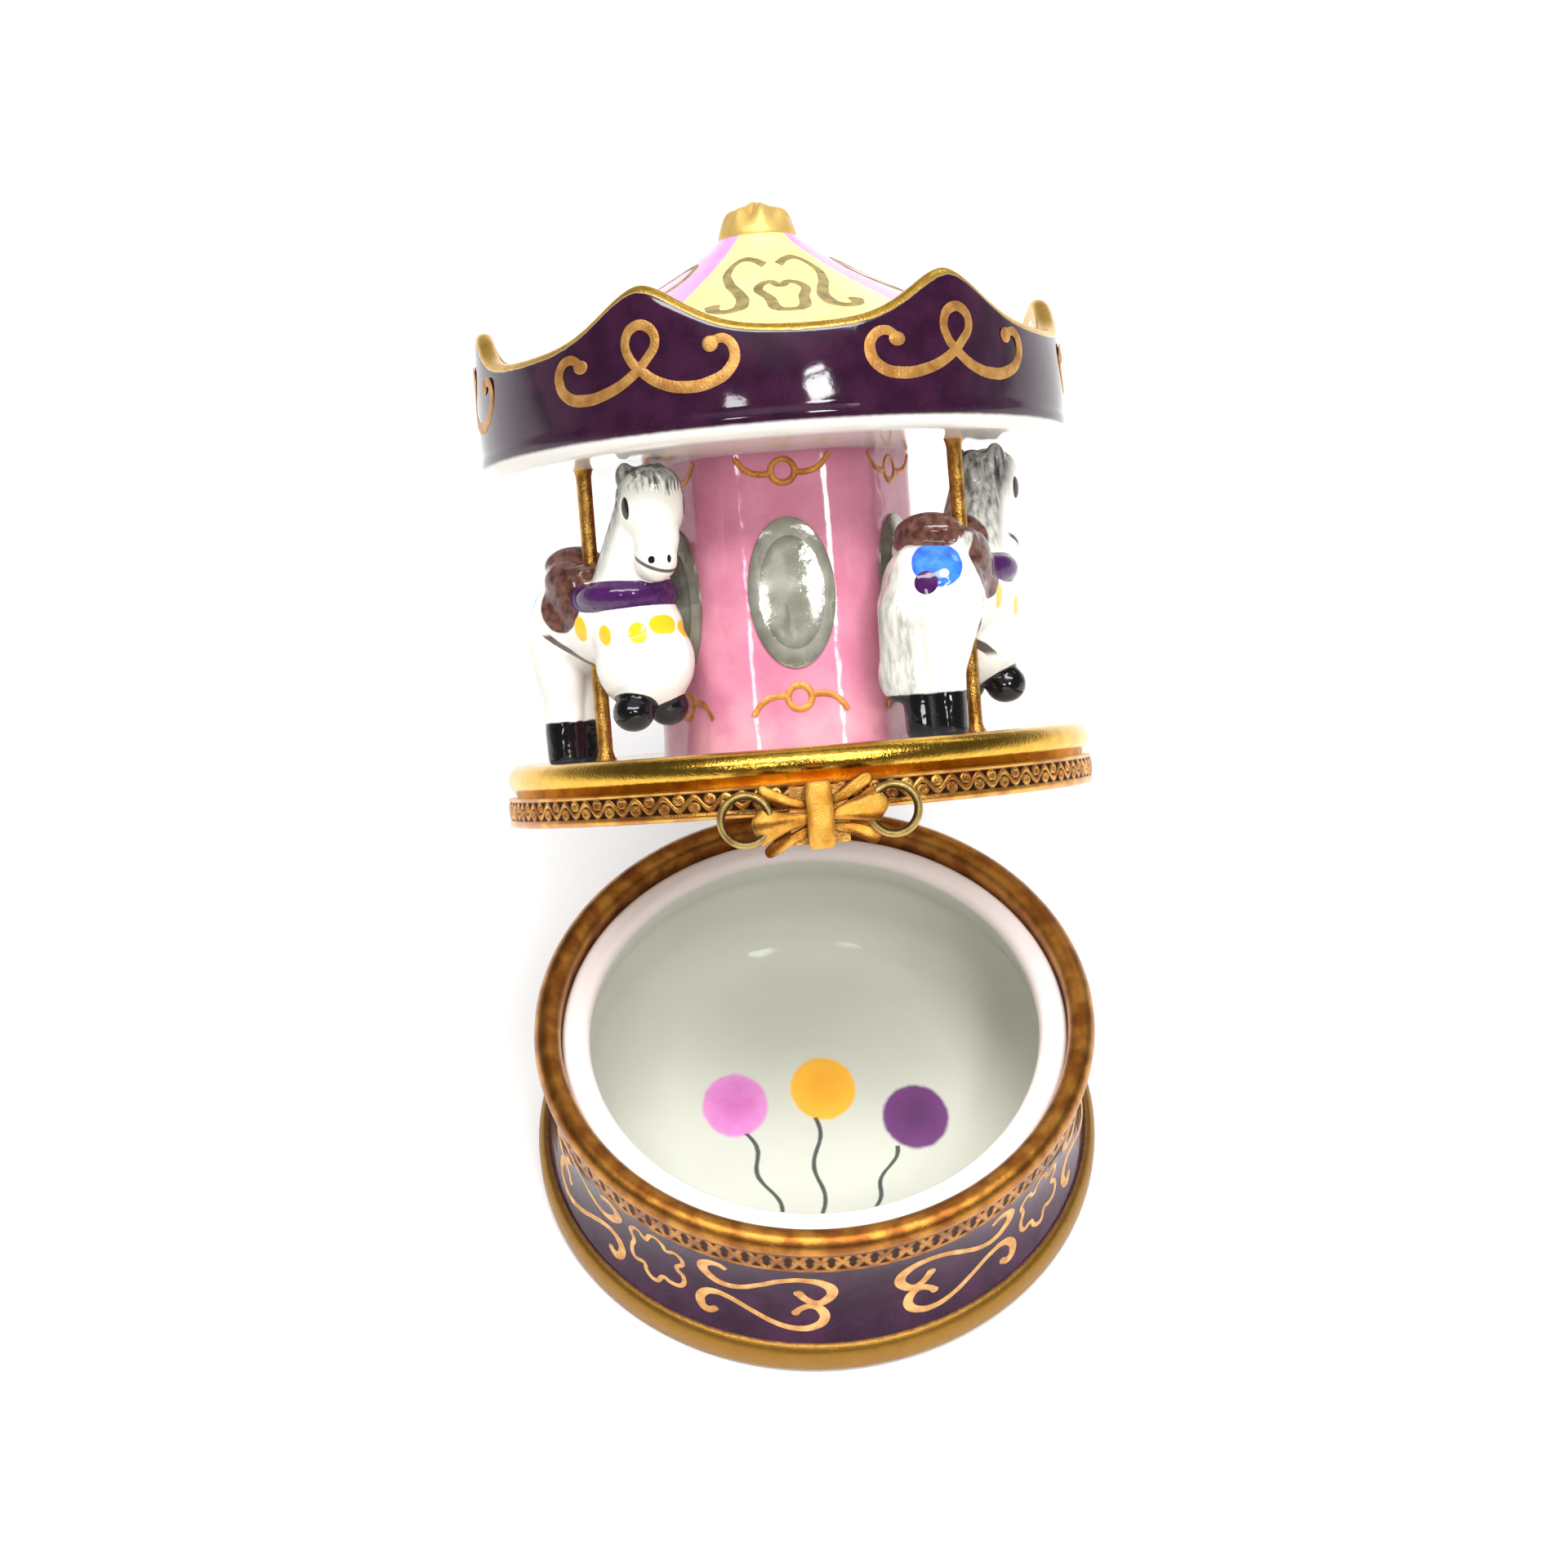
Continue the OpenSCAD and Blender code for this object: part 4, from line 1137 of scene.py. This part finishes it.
def makeHorses():
    s = horse
    made = []
    for middle, half in horseLumps:
        clear()
        bpy.ops.mesh.primitive_uv_sphere_add(segments=32, ring_count=20, radius=mm,
                                             location=Vector(middle) * mm, scale=half)
        made.append(bpy.context.object)
    for start, end, r0, r1 in horseLimbs:
        made += limb(start, end, r0, r1)
    for side in (1, -1):
        clear()
        bpy.ops.mesh.primitive_cone_add(vertices=32, radius1=1.55 * mm, radius2=1.65 * mm, depth=3 * mm,
                                        location=(-5 * mm, (side * 1.1 - 0.3) * mm, 1.5 * mm))
        made.append(bpy.context.object)
    # chest band
    clear()
    bpy.ops.mesh.primitive_torus_add(major_radius=3.2 * mm, minor_radius=1.15 * mm, major_segments=48,
                                     minor_segments=16, location=(2.9 * mm, 0, 13.4 * mm))
    made.append(bpy.context.object)
    body = joined("horse_cast_1", made)
    clear()
    body.select_set(True)
    bpy.context.view_layer.objects.active = body
    bpy.ops.object.transform_apply(location=True, rotation=True, scale=True)
    fused = body.modifiers.new("fuse", "REMESH")
    fused.mode = "VOXEL"
    fused.voxel_size = s["voxel"] * mm
    bpy.ops.object.modifier_apply(modifier="fuse")
    soft = body.modifiers.new("soften", "SMOOTH")
    soft.iterations = s["smooth"]
    soft.factor = 0.5
    bpy.ops.object.modifier_apply(modifier="soften")
    co = points(body)
    co[:, 2] = np.maximum(co[:, 2], 0)
    setPoints(body, co)
    drawn = body.data.attributes.new("horsePlace", "FLOAT_VECTOR", "POINT")
    drawn.data.foreach_set("vector", co.ravel())
    bpy.ops.object.shade_smooth()
    look = makeHorseGlaze()
    size = (lidBox("horse_1")[1][2] - deckTop) / s["drawn"]
    for k in (3, 2, 1):
        piece = body if k == 1 else copied(body, f"horse_cast_{k}")
        angle, reach = poleSpot(k)
        stand = (Matrix.Rotation(angle, 4, "Z") @ Matrix.Translation(Vector((reach, 0, deckTop)) * mm)
                 @ Matrix.Rotation(math.radians(s["turns"][k - 1]), 4, "Z")
                 @ Matrix.Translation(Vector((-s["inset"], 0, 0)) * mm) @ Matrix.Rotation(math.pi / 2, 4, "Z")
                 @ Matrix.Scale(size, 4))
        piece.data.transform(stand)
        place(piece, "lid", look, "horse_porcelain", f"horse_{k}")
    print("horses cast")


# poles

def makePoles(look):
    low, high = lidBox("pole_1")
    radius = (high - low)[0] / 2
    outline = [(radius * 0.9, low[2]), (radius, low[2] + 0.1), (radius, deckTop),
               (radius * 1.5, deckTop + 0.02), (radius * 1.2, deckTop + 0.35), (radius, deckTop + 0.8)]
    # hand-filed, never quite even
    outline += [(radius * (1 + 0.012 * math.sin(i * 2.4)), z)
                for i, z in enumerate(np.linspace(deckTop + 1.6, soffit - 1, 16))]
    outline += [(radius, soffit - 0.6), (radius * 1.15, soffit - 0.2), (radius * 1.3, soffit),
                (radius, soffit + 0.05), (radius * 0.9, high[2])]
    first = turned("pole_rod_1", outline, 32)
    smoothBy(first, 50)
    for k in (3, 2, 1):
        piece = first if k == 1 else copied(first, f"pole_rod_{k}")
        angle, reach = poleSpot(k)
        spot = Vector((reach * math.cos(angle), reach * math.sin(angle), 0))
        piece.data.transform(Matrix.Translation(spot * mm))
        place(piece, "lid", look, "pole_brass", f"pole_{k}")
    print("poles turned")


# bow

bow = {"ribbonBack": 0.4, "loop": 4.5, "loopWall": 0.62, "loopDepth": 1.2, "knot": (2.25, 5.3, 0.7)}
# ribbon leaves: outline across and up, back face, thickness and how far the middle swells
bowLeaves = [
    ([(-1.0, 0.2), (-2.8, 0.35), (-4.3, 0.8), (-5.2, 0.2), (-5.4, -0.6), (-4.9, -1.5), (-4.6, -2.1),
      (-3.7, -1.7),
      (-2.3, -1.0), (-1.0, -0.6)], 0.25, 0.5, 0.55),
    ([(-1.0, 0.6), (-2.3, 0.65), (-3.6, 1.0), (-4.5, 1.4), (-4.75, 2.1), (-4.4, 2.65), (-3.1, 2.0),
      (-1.9, 1.4),
      (-1.0, 1.1)], 0.0, 0.35, 0.3),
    ([(-1.0, -0.8), (-2.3, -1.3), (-3.8, -1.9), (-4.5, -2.5), (-4.2, -3.1), (-3.1, -2.7), (-2.0, -2.0),
      (-1.0, -1.6)],
     0.0, 0.35, 0.3),
    ([(1.0, 0.1), (1.8, 0.7), (3.1, 1.25), (4.3, 1.9), (5.1, 1.3), (5.5, 0.4), (4.9, -0.5), (4.4, -0.9),
      (3.0, -0.65),
      (1.0, -0.45)], 0.25, 0.5, 0.55),
    ([(1.0, 0.85), (2.0, 0.95), (3.1, 1.5), (4.2, 2.2), (4.3, 2.8), (3.75, 3.05), (2.5, 2.45), (1.5, 1.7),
      (1.0, 1.4)],
     0.0, 0.35, 0.3),
    ([(1.0, -0.7), (2.9, -0.9), (4.6, -1.5), (4.75, -2.0), (4.35, -2.55), (3.7, -2.45), (2.4, -1.7),
      (1.0, -1.2)],
     0.0, 0.35, 0.3)]


def rounded(corners, steps):
    # a smooth closed line through the corners
    co = np.array(corners, float)
    t = np.linspace(0, 1, steps, endpoint=False)[:, None]
    a, b, c, d = (np.roll(co, k, 0) for k in (1, 0, -1, -2))
    made = [q + t / 2 * (r - p + t * (2 * p - 5 * q + 4 * r - w) + t ** 2 * (3 * q - p - 3 * r + w))
            for p, q, r, w in zip(a, b, c, d)]
    return np.concatenate(made)


def leaf(name, corners, back, thick, swell):
    # an outline given a thickness, then swelled like cushioned ribbon by insetting its front
    line = rounded(corners, 5)
    clear()
    bpy.ops.mesh.primitive_circle_add(vertices=len(line), radius=mm, fill_type="NGON")
    piece = named(name)
    setPoints(piece, np.stack([line[:, 0], np.full(len(line), -back), line[:, 1]], 1))
    bpy.ops.object.mode_set(mode="EDIT")
    bpy.ops.mesh.select_all(action="SELECT")
    bpy.ops.mesh.extrude_region_move(TRANSFORM_OT_translate={"value": (0, -thick * mm, 0)})
    middle = tuple(np.array([line[:, 0].mean(), -back - thick, line[:, 1].mean()]) * mm)
    for k in range(1, 6):
        rise = swell * (math.sin(k * math.pi / 10) - math.sin((k - 1) * math.pi / 10))
        bpy.ops.mesh.extrude_region_move(TRANSFORM_OT_translate={"value": (0, -rise * mm, 0)})
        size = math.cos(k * math.pi / 11) / math.cos((k - 1) * math.pi / 11)
        bpy.ops.transform.resize(value=(size, 1, size), center_override=middle)
    bpy.ops.object.mode_set(mode="OBJECT")
    editAll(lambda: bpy.ops.mesh.normals_make_consistent(inside=False))
    return piece


def makeBow():
    s = bow
    # the darkest colour of each brass is painted shade in the creases and behind the ribbon
    look = makeBrass("bowBrass", True, tone(246, 186, 84), tone(214, 144, 50), tone(112, 58, 14), 0.26, 0.3)
    dull = makeBrass("loopBrass", True, tone(186, 160, 96), tone(140, 112, 58), tone(70, 50, 24), 0.2, 0.15)
    front = collarR + s["ribbonBack"]
    ribbon = joined("bow_wings", [leaf("leaf", *shape) for shape in bowLeaves])
    co = points(ribbon)
    # a few soft folds run out from the knot
    fold = 0.09 * np.sin(np.arctan2(co[:, 2], np.abs(co[:, 0])) * 14) * np.clip(np.abs(co[:, 0]) / 3, 0, 1)
    # painted shade and highlight: the ribbon's back and sides are darker and its front brighter, with shade
    # and highlight along the folds
    swelled = np.clip((-co[:, 1] - 0.3) / 0.4, 0, 1)
    shade = np.clip(swelled * (0.75 + fold * 6), 0, 1)
    co[:, 1] -= front + 0.05 - fold * swelled
    setPoints(ribbon, co)
    mark(ribbon, "relief", shade)
    smoothBy(ribbon, 50)
    place(ribbon, "lid", look, "bow_brass", "bow_ribbon")
    # knot: a rounded band over the middle, its edges turned back
    width, height, thick = s["knot"]
    clear()
    bpy.ops.mesh.primitive_cube_add(size=mm)
    knot = named("bow_band")
    editAll(lambda: bpy.ops.transform.resize(value=(width, thick + 0.6, height)),
            lambda: bpy.ops.mesh.subdivide(number_cuts=7),
            lambda: bpy.ops.transform.translate(value=(0, -(front + 1.25) * mm, 0)))
    co = points(knot)
    up = co[:, 2] / (height / 2)
    across = co[:, 0] / (width / 2)
    ahead = co[:, 1] < -(front + 1.25)
    co[:, 1] += np.where(ahead, 0.32 * across ** 4 + 0.3 * up ** 6 + 0.05 * np.sin(up * 5), 0)
    co[:, 0] *= 1 - 0.16 * up ** 6 - 0.08 * (1 - up ** 2)
    setPoints(knot, co)
    # painted shade: the knot's turned-back sides and its back are darker
    mark(knot, "relief", np.where(ahead, 1 - 0.5 * np.abs(across) ** 3, 0.2))
    smooth = knot.modifiers.new("round", "SUBSURF")
    smooth.levels = 2
    smooth.render_levels = 2
    bpy.ops.object.modifier_apply(modifier="round")
    bpy.ops.object.shade_smooth()
    place(knot, "lid", look, "bow_brass", "bow_knot")
    # wire loops
    for side, word in ((-1, "left"), (1, "right")):
        r = s["loop"] / 2
        wall = s["loopWall"]
        depth = s["loopDepth"]
        outline = [(r - 0.16, 0), (r, 0.16), (r, depth - 0.22), (r - 0.2, depth), (r - wall + 0.16, depth),
                   (r - wall, depth - 0.16), (r - wall, 0.12), (r - wall + 0.1, 0), (r - 0.16, 0)]
        loop = turned(f"bow_wire_{word}", outline, 72, filled=False)
        loopBox = lidBox(f"bow_loop_{word}")
        centre = side * (max(abs(loopBox[0][0]), abs(loopBox[1][0])) - r)
        co = points(loop)
        ring = np.hypot(co[:, 0], co[:, 1])
        co = np.stack([co[:, 0] + centre, -front - co[:, 2], co[:, 1]], 1)
        setPoints(loop, co)
        # painted shade on the inner face of each wire loop
        mark(loop, "relief", np.clip((ring - r + wall) / wall, 0, 1))
        editAll(lambda: bpy.ops.mesh.normals_make_consistent(inside=False))
        smoothBy(loop, 50)
        place(loop, "lid", dull, "bow_brass", f"bow_loop_{word}")
    print("bow tied")


# parts that keep their CAD shape

def dressParts():
    look = makeGilt("hingeBrass", False, tone(206, 156, 84), tone(160, 108, 52), 0.24, 0.06)
    for node in ("base_knuckle_left", "base_knuckle_right", "hinge_pin", "lid_knuckle", "clasp_tongue"):
        for entry in frame["nodes"][node].material_slots:
            entry.material = look


# camera, light and floor

view = {"azimuth": -4.43, "elevation": 46.81, "distance": 0.23189, "target": 0.04867, "roll": -1.35,
        "lens": 64.17, "shift": -0.0157}


def setCamera():
    az = math.radians(view["azimuth"])
    el = math.radians(view["elevation"])
    back = Vector((math.sin(az) * math.cos(el), -math.cos(az) * math.cos(el), math.sin(el)))
    right = Vector((math.cos(az), math.sin(az), 0))
    up = back.cross(right)
    roll = math.radians(view["roll"])
    right, up = right * math.cos(roll) + up * math.sin(roll), up * math.cos(roll) - right * math.sin(roll)
    turn = Matrix((right, up, back)).transposed()
    spot = Vector((0, 0, view["target"])) + back * view["distance"]
    bpy.ops.object.camera_add(location=spot, rotation=turn.to_euler())
    camera = bpy.context.object
    camera.data.lens = view["lens"]
    camera.data.sensor_width = 36
    camera.data.shift_x = view["shift"]
    camera.data.clip_start = 0.01
    bpy.context.scene.camera = camera


# softboxes: azimuth and elevation from the middle of the box, distance, width and height, watts, and whether
# gloss shows them
lamps = [(90, 80, 0.85, (0.9, 0.9), 5.2, False), (-64, 44, 0.8, (0.6, 0.5), 2.4, False),
         (-66, 48.2, 0.55, (0.09, 0.07), 0.5, True), (-66, 54, 0.55, (0.07, 0.018), 0.11, True),
         (-113, 43.5, 0.55, (0.07, 0.07), 0.24, True), (-94, 78, 0.7, (0.8, 0.12), 4.2, True),
         (60, 35, 0.7, (0.5, 0.06), 0.4, True)]


def setLight():
    centre = Vector((0, 0.01, 0.045))
    for azimuth, elevation, distance, size, watts, seen in lamps:
        az, el = math.radians(azimuth), math.radians(elevation)
        away = Vector((math.cos(az) * math.cos(el), math.sin(az) * math.cos(el), math.sin(el)))
        bpy.ops.object.light_add(type="AREA", location=centre + away * distance,
                                 rotation=(-away).to_track_quat("-Z", "Y").to_euler())
        bpy.context.object.visible_glossy = seen
        lamp = bpy.context.object.data
        lamp.shape = "RECTANGLE"
        lamp.size, lamp.size_y = size
        lamp.energy = watts
    world = bpy.data.worlds.new("studio")
    world.use_nodes = True
    bpy.context.scene.world = world
    flow = Flow(world.node_tree)
    up = flow.node("ShaderNodeTexCoord", {}, {}, "Generated").axes()[2]
    # pale up to the horizon, a dark wall above it and a bright ceiling
    levels = [(0.0, 0.4), (0.5, 0.4), (0.57, 0.3), (0.64, 0.11), (0.9, 0.09), (0.96, 0.8)]
    stops = [(spot, (level, level, level * 0.99, 1)) for spot, level in levels]
    shade = flow.node("ShaderNodeValToRGB", {"stops": stops}, {"Fac": up * 0.5 + 0.5})
    sky = world.node_tree.nodes["Background"]
    world.node_tree.links.new(shade.socket, sky.inputs["Color"])
    sky.inputs["Strength"].default_value = 1
    bpy.context.scene.view_settings.view_transform = "Standard"


def makeFloor():
    clear()
    bpy.ops.mesh.primitive_plane_add(size=4)
    floor = named("studio_floor")
    made, shader, flow = finish("floorPaper")
    point = basePoint(flow)
    colour = point.noise(0.02, 2).blend((0.93, 0.93, 0.93, 1), (0.95, 0.95, 0.95, 1))
    feed(flow, shader, colour=colour, rough=0.6, normal=bump(flow, point.noise(2, 2), 0.01))
    floor.data.materials.append(made)


setCamera()
setLight()
makeFloor()
makeBowl()
makeCollars()
makeDeck()
makeColumn()
makeMirrors()
makeCanopy()
lidGold = makeGilt("lidGold", True, tone(204, 154, 84), tone(166, 112, 54), 0.3, metal=0.6)
columnGold = makeGilt("columnGold", True, tone(208, 140, 66), tone(168, 102, 48), 0.25, metal=0.6)
baseGold = makeGilt("baseGold", False, tone(236, 186, 118), tone(196, 138, 74), 0.3, metal=0.6)
roofGold = makeGilt("roofGold", True, tone(176, 158, 104), tone(134, 118, 76), 0.45, metal=0.25)
paintValance(lidGold)
paintRoof(roofGold)
paintColumn(columnGold)
paintBase(baseGold)
makeHorses()
makePoles(makeGilt("poleBrass", True, tone(210, 158, 78), tone(150, 102, 44), 0.18, 0.08))
makeBow()
dressParts()
